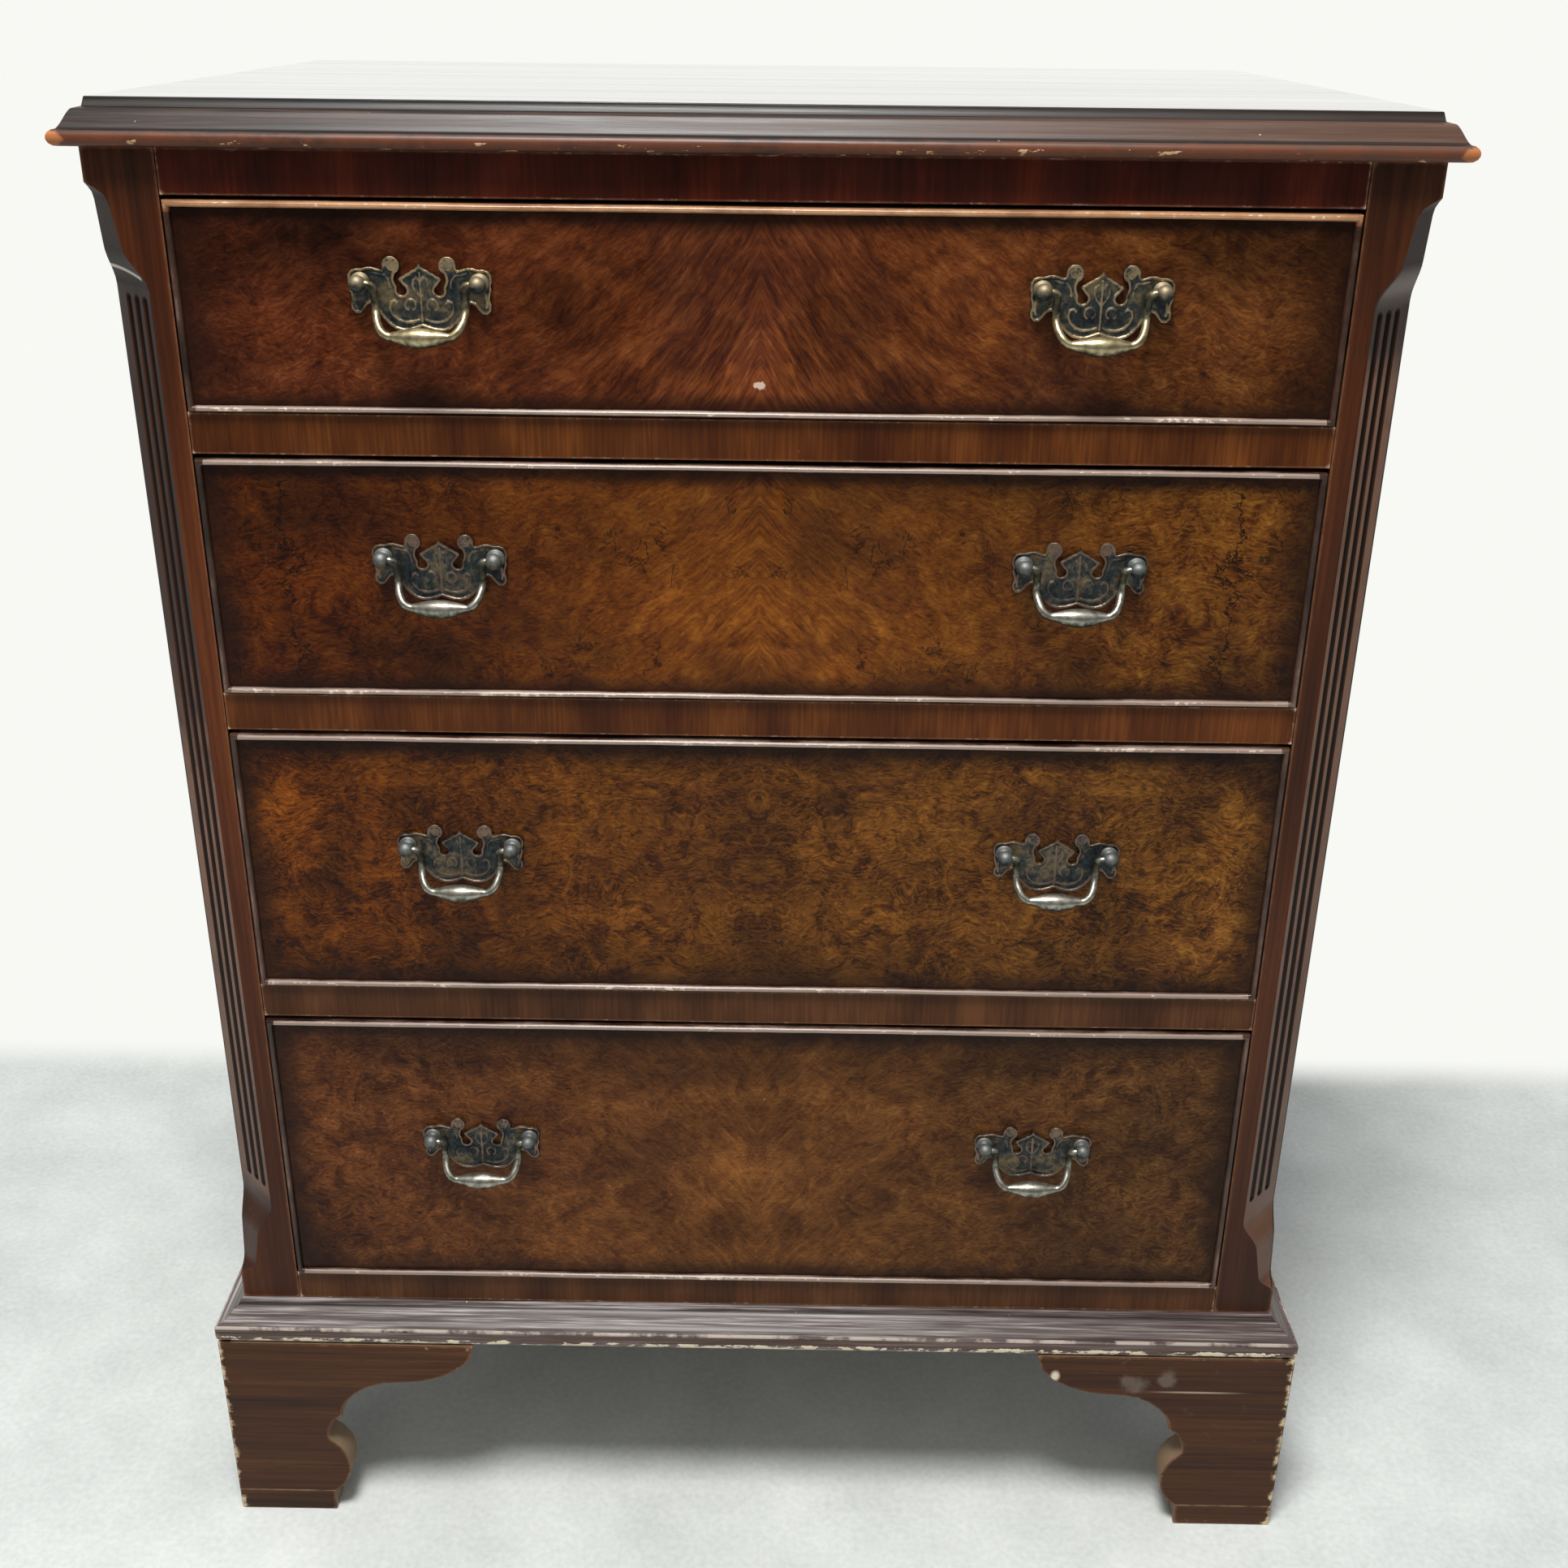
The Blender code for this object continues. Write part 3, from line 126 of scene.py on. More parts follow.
# %% Colours and nodes
def linear(hex_colour):
    """An sRGB hex colour as the linear red, green, blue and alpha that a shader reads."""
    values = [int(hex_colour[start : start + 2], 16) / 255 for start in (1, 3, 5)]
    return (*[v / 12.92 if v <= 0.04045 else ((v + 0.055) / 1.055) ** 2.4 for v in values], 1.0)


def add_node(tree, kind, *inputs, out=0, stops=None, **named):
    """Adds one node, such as "Math.ADD", and returns one output, or the node if out is None."""
    kind, _, operation = kind.partition(".")
    made = tree.nodes.new("ShaderNode" + kind)
    if operation:
        made.operation = operation
    for name in [name for name in named if name.islower()]:
        setattr(made, name, named.pop(name))
    for key, value in (dict(enumerate(inputs)) | named).items():
        if isinstance(value, bpy.types.NodeSocket):
            tree.links.new(value, made.inputs[key])
        else:
            made.inputs[key].default_value = value
    if stops:
        ramp = made.color_ramp
        while len(ramp.elements) < len(stops):
            ramp.elements.new(1.0)
        for element, (position, colour) in zip(ramp.elements, stops):
            element.position = position
            element.color = linear(colour)
    return made if out is None else made.outputs[out]


# %% Stains and finishes
def stain(add, under, where, colour, strength=1.0, **settings):
    """Lays a colour over another where the mask is 1."""
    if strength < 1.0:
        where = add("Math.MULTIPLY", where, strength)
    over = linear(colour) if isinstance(colour, str) else colour
    return add("Mix", where, A=under, B=over, out="Result", data_type="RGBA", **settings)


def new_finish(name, ior=1.45, shine=0.5, metallic=0.0):
    """A material named for its finish, what adds nodes to it, its shader, and places in metres."""
    material = bpy.data.materials.new(name)
    material.use_nodes = True
    shader = material.node_tree.nodes["Principled BSDF"]
    shader.inputs["IOR"].default_value = ior
    shader.inputs["Specular IOR Level"].default_value = shine
    shader.inputs["Metallic"].default_value = metallic
    add = partial(add_node, material.node_tree)
    return material, add, shader, add("TexCoord", out="Object")


def bring_together(add, shader, colour, rough, relief, depth, strength=0.5):
    """Links colour, roughness and a relief of some depth to the shader."""
    normal = add("Bump", Height=relief, Distance=depth, Strength=strength)
    for name, socket in (("Base Color", colour), ("Roughness", rough), ("Normal", normal)):
        shader.id_data.links.new(socket, shader.inputs[name])


# %% [markdown]
# ## Wear that every finish shares
#
# Hands and dusters rub the outer edges first, so polish is thin there and pale wood shows. The
# Ambient Occlusion node with Inside turned on looks into the board: near an outer edge it soon meets
# the next face, so it marks exactly those edges, up to 0.5 where two faces meet squarely. Noise
# breaks the mark up. Small knocks are the points of a Voronoi texture, of which only a few are kept.

# %% Masks for rubbed edges, painted shade and dirt in corners, and knocks
SMOOTH = dict(interpolation_type="SMOOTHSTEP")


def outer_edges(add, reach):
    """0 on open faces and up to about 0.5 along outer edges, within reach in metres."""
    nearby = add(
        "AmbientOcclusion", Distance=reach, out="AO", inside=True, only_local=True, samples=8
    )
    return add("Math.SUBTRACT", 1.0, nearby)


def broken_up(add, mask, place, size, share, low, high):
    """A mask torn by a noise whose patches are so many metres wide, then cut between two levels."""
    patches = add("TexNoise", place, Scale=1 / size, Detail=5.0, Roughness=0.65)
    torn = add("Math.MULTIPLY_ADD", patches, share, -share / 2)
    total = add("Math.ADD", mask, torn)
    return add("MapRange", total, low, high, **SMOOTH)


def shade_and_dirt_in_corners(add, reach, start=0.92, full=0.55):
    """1 in inner corners and grooves: painted shade where little light reaches, and where old wax and
    dust collect.
    """
    outside = add("AmbientOcclusion", Distance=reach, out="AO", only_local=True, samples=8)
    return add("MapRange", outside, start, full, **SMOOTH)


def knocks(add, place, apart, size, share):
    """1 in small scattered spots. Apart and size are in metres, share is how many points count."""
    bent = add("TexNoise", place, Scale=1 / size, Detail=2.0, out="Color")
    spot = add("VectorMath.MULTIPLY_ADD", bent, (1.6 * size,) * 3, place)
    cells = add("TexVoronoi", spot, Scale=1 / apart, out=None).outputs
    lot = add("SeparateColor", cells["Color"], out="Red")
    kept = add("Math.LESS_THAN", lot, share)
    near = add("MapRange", cells["Distance"], 0.5 * size / apart, 0.25 * size / apart)
    return add("Math.MULTIPLY", near, kept)


# %% Ovals, lines and long noises
def patch(add, place, middle, radii, strength):
    """A soft oval: its strength in the middle, 0 at its edge. All in metres, in X and Z."""
    scale = (1 / radii[0], 0.0, 1 / radii[1])
    shift = (-middle[0] / radii[0], 0.0, -middle[1] / radii[1])
    oval = add("VectorMath.MULTIPLY_ADD", place, scale, shift)
    away = add("VectorMath.LENGTH", oval, out="Value")
    return add("MapRange", away, 0.15, 1.1, strength, 0.0, **SMOOTH)


def thin_line(add, value, middle, edge, core, strength=1.0):
    """A line where a value is near the middle one: 0 beyond its edge, full inside its core."""
    off = add("Math.SUBTRACT", value, middle)
    off = add("Math.ABSOLUTE", off)
    return add("MapRange", off, edge, core, 0.0, strength)


def facing(add, axis):
    """How far the surface faces along X, Y or Z, from -1 to 1."""
    return add("SeparateXYZ", add("NewGeometry", out="Normal"), out=axis)


def stretched_noise(add, place, scales, **named):
    """A noise with a scale of its own for each axis, which makes it long along the smallest one."""
    spread = add("VectorMath.MULTIPLY", place, scales)
    return add("TexNoise", spread, Scale=1.0, **named)


def grained(add, place, along, length, width, **named):
    """A noise stretched along X, Y or Z, with patches so long and so wide in metres."""
    scales = [1 / (length if axis == along else width) for axis in "XYZ"]
    return stretched_noise(add, place, scales, **named)


def along_the_run(add, place):
    """Places measured along a moulding, which runs in X on the front and in Y on the sides."""
    axes = add("SeparateXYZ", place, out=None).outputs
    normal = add("SeparateXYZ", add("NewGeometry", out="Normal"), out=None).outputs
    sideways = add("Math.ABSOLUTE", normal["X"])
    forwards = add("Math.ABSOLUTE", normal["Y"])
    turned = add("Math.GREATER_THAN", sideways, forwards)
    run = add("Mix", turned, A=axes["X"], B=axes["Y"])
    across = add("Mix", turned, A=axes["Y"], B=axes["X"])
    return add("CombineXYZ", run, across, axes["Z"])


# %% [markdown]
# ## Mahogany
#
# Mahogany grows straight, with long pores and broad ribbons that are a shade apart. One noise that is
# stretched along the board makes the ribbons, a finer one the grain, and a third the dark pores. Real
# pores are 0.2 mm wide; they are drawn 0.6 mm wide here, or they would not show. Grain runs up the
# posts and sides and along the feet, so the direction is a setting. The feet's sawn edges are finished
# in their own way, and the posts' canted faces get painted shade.

# %% Sawn edges and worn feet
FOOT_SIDE = 0.325  # just inside the feet's outer faces, in X
FOOT_FRONT = FRONT - 8 * MM  # between the feet's front faces and the case
SOLE = 0.016  # height of the glued sole


def sawn_edges(add, place, colour, raw):
    """The sawn edges of a bracket were never stained as carefully as its face."""
    front = add("Math.ABSOLUTE", facing(add, "Y"))
    edge = add("MapRange", front, 0.6, 0.3)
    x = add("SeparateXYZ", place, out="X")
    x = add("Math.ABSOLUTE", x)
    inner = add("Math.LESS_THAN", x, FOOT_SIDE)
    where = add("Math.MULTIPLY", edge, inner)
    return stain(add, colour, where, raw, 0.75)


def kicked(add, place, colour, bare, chips):
    """Chips along the foot's corner, and the pale line where its sole was glued on."""
    spot = add("SeparateXYZ", place, out=None).outputs
    x = add("Math.ABSOLUTE", spot["X"])
    outer = add("MapRange", x, FOOT_SIDE + 0.0015, FOOT_SIDE + 0.0070, 0.0, 0.42)
    front = add("Math.LESS_THAN", spot["Y"], FOOT_FRONT)
    outer = add("Math.MULTIPLY", outer, front)
    wide = add("Math.ADD", outer_edges(add, 0.009), outer)
    chip = broken_up(add, wide, place, 0.009, chips, 0.80, 0.84)
    bare = add("Math.MAXIMUM", bare, chip)
    line = thin_line(add, spot["Z"], SOLE, 0.0009, 0.0003, 0.45)
    line = broken_up(add, line, place, 0.015, 0.9, 0.25, 0.50)
    return stain(add, colour, line, "#96795f", 0.7), bare


# %% The canted faces of the posts
POST_SIDE = 0.3165  # just inside the posts' outer faces, in X
BEHIND_CANT = 0.2931 - FRONT  # what X minus Y is just behind the canted face


def cant_with_painted_shade(add, place, colour, strength, ribs):
    """Painted shade on the cant and in the flutes, ribs rubbed and painted lighter below two heights and
    above a third, and painted shade at both ends.
    """
    # The cant is painted darker as painted shade, more so higher up.
    sideways = add("Math.ABSOLUTE", facing(add, "X"))
    slanted = add("MapRange", sideways, 0.20, 0.45)
    spot = add("SeparateXYZ", place, out=None).outputs
    dark = add("Math.MULTIPLY", slanted, add("MapRange", spot["Z"], 0.45, 0.66, 0.55))
    colour = stain(add, colour, dark, "#170c08", strength)
    # The flutes lie behind the canted face, and their floors are painted black: painted shade, with old
    # wax in them.
    x = add("Math.ABSOLUTE", spot["X"])
    ahead = add("Math.SUBTRACT", x, spot["Y"])
    depth = add("MapRange", ahead, BEHIND_CANT, BEHIND_CANT - MM)
    behind = add("Math.GREATER_THAN", spot["Y"], FRONT + 3 * MM)
    inside = add("Math.LESS_THAN", x, POST_SIDE)
    flute_shade = add("Math.MULTIPLY", depth, behind)
    flute_shade = add("Math.MULTIPLY", flute_shade, inside)
    colour = stain(add, colour, flute_shade, "#060302", 0.93)
    # Hands and dusters have rubbed the ribs beside the flutes brown again, and the same colour is also a
    # painted highlight on them.
    rib = add("Math.MULTIPLY", slanted, inside)
    rib = add("Math.SUBTRACT", rib, flute_shade)
    untouched, rubbed, lowest = ribs
    rib = add("Math.MULTIPLY", rib, add("MapRange", spot["Z"], untouched, rubbed))
    rib = add("Math.MULTIPLY", rib, add("MapRange", spot["Z"], lowest, lowest + 0.02))
    colour = stain(add, colour, broken_up(add, rib, place, 0.02, 0.9, 0.45, 1.1), "#94684f", 0.62)
    # Both ends of the post are painted darker as painted shade.
    high = add("MapRange", spot["Z"], 0.72, 0.83, 0.0, 0.5)
    low = add("MapRange", spot["Z"], 0.55, 0.20, 0.0, 0.48)
    return stain(add, colour, add("Math.MAXIMUM", high, low), "#150a06")


# %% Waxed mahogany
def waxed_mahogany(
    name, along, tones, worn, rub, chips=0.0, gloss=0.30, raw="", cant=0.0, ribs=(0.77, 0.73, 0.0)
):
    """Stained and waxed mahogany with its grain along X, Y or Z, rubbed pale on its outer edges."""
    material, add, shader, place = new_finish(name, ior=1.46, shine=0.22)
    ribbon, grain, pores = [
        grained(add, place, along, length, width, Detail=detail)
        for width, length, detail in ((0.018, 0.30, 3.0), (0.0022, 0.11, 4.0), (0.0006, 0.012, 1.0))
    ]
    figure = add("Mix", 0.42, A=ribbon, B=grain)
    colour = add("ValToRGB", figure, stops=list(zip((0.34, 0.50, 0.68), tones)))
    pore = add("MapRange", pores, 0.40, 0.28, 0.0, 0.4)
    colour = stain(add, colour, pore, "#140a06")
    if raw:
        colour = sawn_edges(add, place, colour, raw)
    # A corner post's cant gets painted shade.
    if cant:
        colour = cant_with_painted_shade(add, place, colour, cant, ribs)
    # Inner corners are darkened as painted shade, with old wax in them.
    colour = stain(add, colour, shade_and_dirt_in_corners(add, 0.006, 0.95, 0.62), "#0a0503", 0.92)
    near = outer_edges(add, 0.0032)
    colour = stain(add, colour, broken_up(add, near, place, 0.007, 0.5, *rub), worn, 0.85)
    bare = knocks(add, place, 0.017, 0.0012, 0.20)
    if chips:
        colour, bare = kicked(add, place, colour, bare, chips)
    colour = stain(add, colour, bare, "#cdb795")
    smear = add("TexNoise", place, Scale=22.0, Detail=4.0)
    gloss = add("MapRange", smear, 0.3, 0.7, gloss, gloss + 0.15)
    rough = add("Mix", bare, A=gloss, B=0.75)
    relief = add("Math.SUBTRACT", grain, pore)
    relief = add("Math.MULTIPLY_ADD", bare, -1.5, relief)
    bring_together(add, shader, colour, rough, relief, 0.00012)
    return material, add, shader, place


POST = dict(tones=("#2e1507", "#46210d", "#5e3218"), worn="#7d5238", rub=(0.28, 0.54), cant=0.6)
FOOT = dict(tones=("#2a1509", "#44250f", "#593618"), worn="#8a6248", rub=(0.26, 0.44), chips=2.2)
side_mahogany = waxed_mahogany("waxed_mahogany_side", "Z", **POST | dict(cant=0.0))[0]
foot_mahogany = waxed_mahogany("waxed_mahogany_foot", "X", raw="#8c7860", **FOOT)[0]
rear_mahogany = waxed_mahogany("waxed_mahogany_rear_foot", "Y", **FOOT)[0]
print("mahogany finishes: 3")


# %% [markdown]
# ## Marks on one piece
#
# A few marks belong to one place: a pale scratch where the left post's lamb's tongue meets its flutes,
# a painted grey reflection in the same hollow of the right post, and two grey smears, a line and a chip
# on the right foot. Each is an oval or a line laid over a finish that only that piece uses, so nothing
# repeats. The left post is also redder than the right one, with more painted shade on its cant, and
# its ribs are rubbed and painted lighter only lower down.

# %% The posts' hollows and the right foot's smears
def over_all(add, shader, where, colour, strength):
    """Lays a colour over whatever colour the shader has so far."""
    under = shader.inputs["Base Color"].links[0].from_socket
    over = stain(add, under, where, colour, strength)
    shader.id_data.links.new(over, shader.inputs["Base Color"])


# The left post's cant gets more painted shade than the right one's, and its ribs are lightened only
# lower down.
LEFT_POST = POST | dict(tones=("#3a1907", "#51250c", "#6b3817"), cant=0.8, ribs=(0.68, 0.48, 0.22))
left_post_mahogany, add, shader, place = waxed_mahogany(
    "waxed_mahogany_left_post", "Z", **LEFT_POST
)
axes = add("SeparateXYZ", place, out=None).outputs
# The scratch is a bow: its height falls off more and more towards the outside.
outwards = add("Math.SUBTRACT", axes["X"], -0.298)
bow = add("Math.MULTIPLY", outwards, outwards)
bow = add("Math.MULTIPLY_ADD", bow, -11.3, 0.7745)
bow = add("Math.MULTIPLY_ADD", outwards, -0.4155, bow)
line = thin_line(add, axes["Z"], bow, 0.0012, 0.0006)
outside = add("Math.LESS_THAN", axes["X"], -0.297)
scratch = add("Math.MULTIPLY", line, outside)
over_all(add, shader, scratch, "#d5cbc2", 0.85)

right_post_mahogany, add, shader, place = waxed_mahogany("waxed_mahogany_right_post", "Z", **POST)
axes = add("SeparateXYZ", place, out=None).outputs
# A painted grey reflection in the hollow above the right post's flutes.
painted_reflection = thin_line(add, axes["Z"], 0.7770, 0.0110, 0.0020)
outside = add("Math.GREATER_THAN", axes["Y"], FRONT + 0.0015)
painted_reflection = add("Math.MULTIPLY", painted_reflection, outside)
over_all(add, shader, painted_reflection, "#8f827b", 0.55)

right_foot_mahogany, add, shader, place = waxed_mahogany(
    "waxed_mahogany_right_foot", "X", raw="#8c7860", **FOOT
)
SMEARS = (((0.2355, 0.116), (0.012, 0.012)), ((0.2555, 0.120), (0.010, 0.011)))
LINE_AND_CHIP = (((0.275, 0.110), (0.034, 0.0010), 0.35), ((0.186, 0.1215), (0.0035, 0.0050), 0.9))
for middle, radii in SMEARS:
    oval = patch(add, place, middle, radii, 1.0)
    over_all(add, shader, broken_up(add, oval, place, 0.008, 2.2, 0.25, 1.1), "#7c6f66", 0.5)
for middle, radii, strength in LINE_AND_CHIP:
    over_all(add, shader, patch(add, place, middle, radii, 1.4), "#d9cbb4", strength)
print("one scratch, one sheen, two smears, one line, one chip")


# %% [markdown]
# ## Figured walnut for the drawer fronts
#
# Each front is veneered with two leaves cut one after the other and opened like a book, so the figure
# mirrors about the middle. The pattern is therefore laid out on the distance from the middle instead
# of on X. Where the leaf was cut from a fork of the tree, the grain rises to the join like a feather.
# Where it was cut from a burr, it swirls and flecks. The two are mixed by a share that changes along
# the front. Broad dark and light areas are soft ovals, and the polisher shaded the edges nearly black.

# %% The leaf's figure
def leaf_figure(add, place, middle, rise, spread, slope, burr, seed):
    """Brightness of the figure, the leaf's own coordinates in millimetres and the bent ones."""
    axes = add("SeparateXYZ", place, out=None).outputs
    across = add("Math.ABSOLUTE", axes["X"])
    across = add("Math.MULTIPLY", across, 1000.0)
    up = add("Math.MULTIPLY_ADD", axes["Z"], 1000.0, -1000.0 * middle)
    leaf = add("CombineXYZ", across, up, seed * 100.0)
    slow = add("TexNoise", leaf, Scale=1 / 40, Detail=4.0, out="Color")
    bent = add("VectorMath.MULTIPLY_ADD", slow, (30.0, 30.0, 0.0), leaf)
    eased = add("VectorMath.MULTIPLY_ADD", slow, (13.0, 13.0, 0.0), leaf)
    eased = add("SeparateXYZ", eased, out=None).outputs
    # The feather: lines that start steep at the join and lie down further out.
    fade = add("Math.MULTIPLY", across, -1 / spread)
    fade = add("Math.POWER", math.e, fade)
    lift = add("Math.MULTIPLY_ADD", fade, -rise, rise)
    lift = add("Math.MULTIPLY_ADD", across, slope, lift)
    line = add("Math.ADD", eased["Y"], lift)
    streaks = []
    for length, width, detail in ((4.5, 1.5, 3.0), (10.0, 4.0, 4.0), (34.0, 20.0, 3.0)):
        far = add("Math.MULTIPLY", eased["X"], 1 / length)
        over = add("Math.MULTIPLY", line, 1 / width)
        flat = add("CombineXYZ", far, over, seed * 7.0 + width)
        streaks.append(
            add("TexNoise", flat, Scale=1.0, Detail=detail, Roughness=0.65, Distortion=0.7)
        )
    mottle = add("TexNoise", bent, Scale=1 / 12, Detail=6.0, Roughness=0.6)
    feather = add("Mix", 0.55, A=streaks[0], B=streaks[1])
    feather = add("Mix", 0.45, A=feather, B=add("Mix", 0.5, A=mottle, B=streaks[2]))
    # The burr: swirls about 20 mm across, with short flecks in them.
    swirl = add("TexNoise", bent, Scale=1 / 18, Detail=8.0, Roughness=0.60, Distortion=1.0)
    flecks = stretched_noise(add, bent, (1 / 3.6, 1 / 1.5, 1.0), Detail=4.0, Distortion=1.0)
    knotty = add("Mix", 0.50, A=swirl, B=flecks)
    share = add("MapRange", across, 20.0, 190.0, burr[0], burr[1])
    return add("Mix", share, A=feather, B=knotty), leaf, bent, axes


# %% Cracks in the burr
def burr_cracks(add, leaf, bent, at, wide, net):
    """Thin dark lines: a wandering one on each leaf, and a net of fainter ones."""
    across = add("SeparateXYZ", leaf, out="X")
    wander = add("TexNoise", leaf, Scale=1 / 17, Detail=4.0, Roughness=0.7)
    where = add("Math.MULTIPLY_ADD", wander, 54.0, at - 27.0)
    main = thin_line(add, across, where, wide, wide * 0.3)
    patches = add("TexNoise", leaf, Scale=1 / 24, Detail=2.0)
    kept = add("MapRange", patches, 0.30, 0.42)
    main = add("Math.MULTIPLY", main, kept)
    # The net follows the places where a noise passes through its middle value.
    level = add("TexNoise", bent, Scale=1 / 34, Detail=5.0, Roughness=0.6, Distortion=0.8)
    thin = thin_line(add, level, 0.5, 0.012, 0.003, net)
    rare = add("MapRange", patches, 0.50, 0.60)
    thin = add("Math.MULTIPLY", thin, rare)
    return add("Math.MAXIMUM", main, thin)


# %% One veneered front
BEND = (0.05, 0.0, 0.04)  # how far a noise bends the broad areas; on average half as far
SOFT = 1.25  # an area fades out, so it is drawn this much larger


def walnut_front(word, leaf, tones, tint, shade, cracks, areas):
    """A book-matched front with its dark edges, its cracks and its broad dark and light areas."""
    name = f"french_polished_walnut_{word}"
    material, add, shader, place = new_finish(name, ior=1.45, shine=0.15)
    low, high = drawer_box[word]
    middle = (low.z + high.z) / 2
    half_wide, half_high = (high.x - low.x) / 2 - BEAD, (high.z - low.z) / 2 - BEAD
    figure, own, bent, axes = leaf_figure(add, place, middle, **leaf)
    colour = add("ValToRGB", figure, stops=list(zip((0.34, 0.43, 0.50, 0.58, 0.68), tones)))
    # Broad areas, bent a little so that they don't look like ovals.
    slow = add("TexNoise", place, Scale=20.0, Detail=3.0, out="Color")
    moved = add("VectorMath.MULTIPLY_ADD", slow, BEND, place)
    cloud = add("TexNoise", place, Scale=26.0, Detail=3.0)
    level = add("MapRange", cloud, 0.35, 0.65, 0.80, 1.18)
    purple = add("TexNoise", moved, Scale=17.0, Detail=3.0)
    purple = add("MapRange", purple, 0.50, 0.64, 0.0, 0.28)
    colour = stain(add, colour, purple, "#3a1d1e")
    for x, z, wide, tall, strength in areas:
        spot = (x * MM + BEND[0] / 2, middle + z * MM + BEND[2] / 2)
        oval = patch(add, moved, spot, (wide * SOFT * MM, tall * SOFT * MM), -strength)
        level = add("Math.ADD", level, oval)
    level = add("Math.MAXIMUM", level, 0.22)
    colour = stain(add, colour, 1.0, level, blend_type="MULTIPLY")
    # The polish is redder on the left and browner on the right, and darker towards both ends.
    side = add("MapRange", axes["X"], -0.22, 0.22)
    polish = add("ValToRGB", side, stops=list(zip((0.0, 0.5, 1.0), tint)))
    colour = stain(add, colour, 1.0, polish, blend_type="MULTIPLY")
    colour = stain(add, colour, burr_cracks(add, own, bent, *cracks), "#0d0503", 0.9)
    # The polisher's dark edge, wider at the ends than at the top and bottom.
    rest = add("TexNoise", place, Scale=30.0, Detail=3.0)
    height = add("Math.SUBTRACT", axes["Z"], middle)
    clear = 1.0
    for distance, limit, width in ((axes["X"], half_wide, shade[0]), (height, half_high, shade[1])):
        away = add("Math.ABSOLUTE", distance)
        away = add("Math.SUBTRACT", limit, away)
        away = add("Math.MULTIPLY_ADD", rest, width * 0.9, away)
        inner = add("MapRange", away, width * 0.35, width * 1.5, **SMOOTH)
        clear = add("Math.MULTIPLY", clear, inner)
    toned = stain(add, colour, 0.80, "#1b0c07")
    colour = stain(add, toned, clear, colour)
    colour = stain(add, colour, knocks(add, place, 0.028, 0.0009, 0.25), "#d2b9a2")
    smear = add("TexNoise", place, Scale=14.0, Detail=5.0)
    gloss = add("MapRange", smear, 0.3, 0.7, 0.22, 0.36)
    bring_together(add, shader, colour, gloss, figure, 0.00012, 0.35)
    return material


# %% [markdown]
# ## The four fronts
#
# The top drawer has the boldest feather. The second is burr with a feather that starts in the middle
# and a long crack near both ends. The third is burr all over. The bottom one has a fan that opens
# upwards from the middle of its lower edge, so its rise is negative. Areas are given as x, z, half
# width and half height in millimetres from the front's middle, and how much darker they are. Cracks
# are the distance of the wandering one from the middle and its half width, and the net's strength.

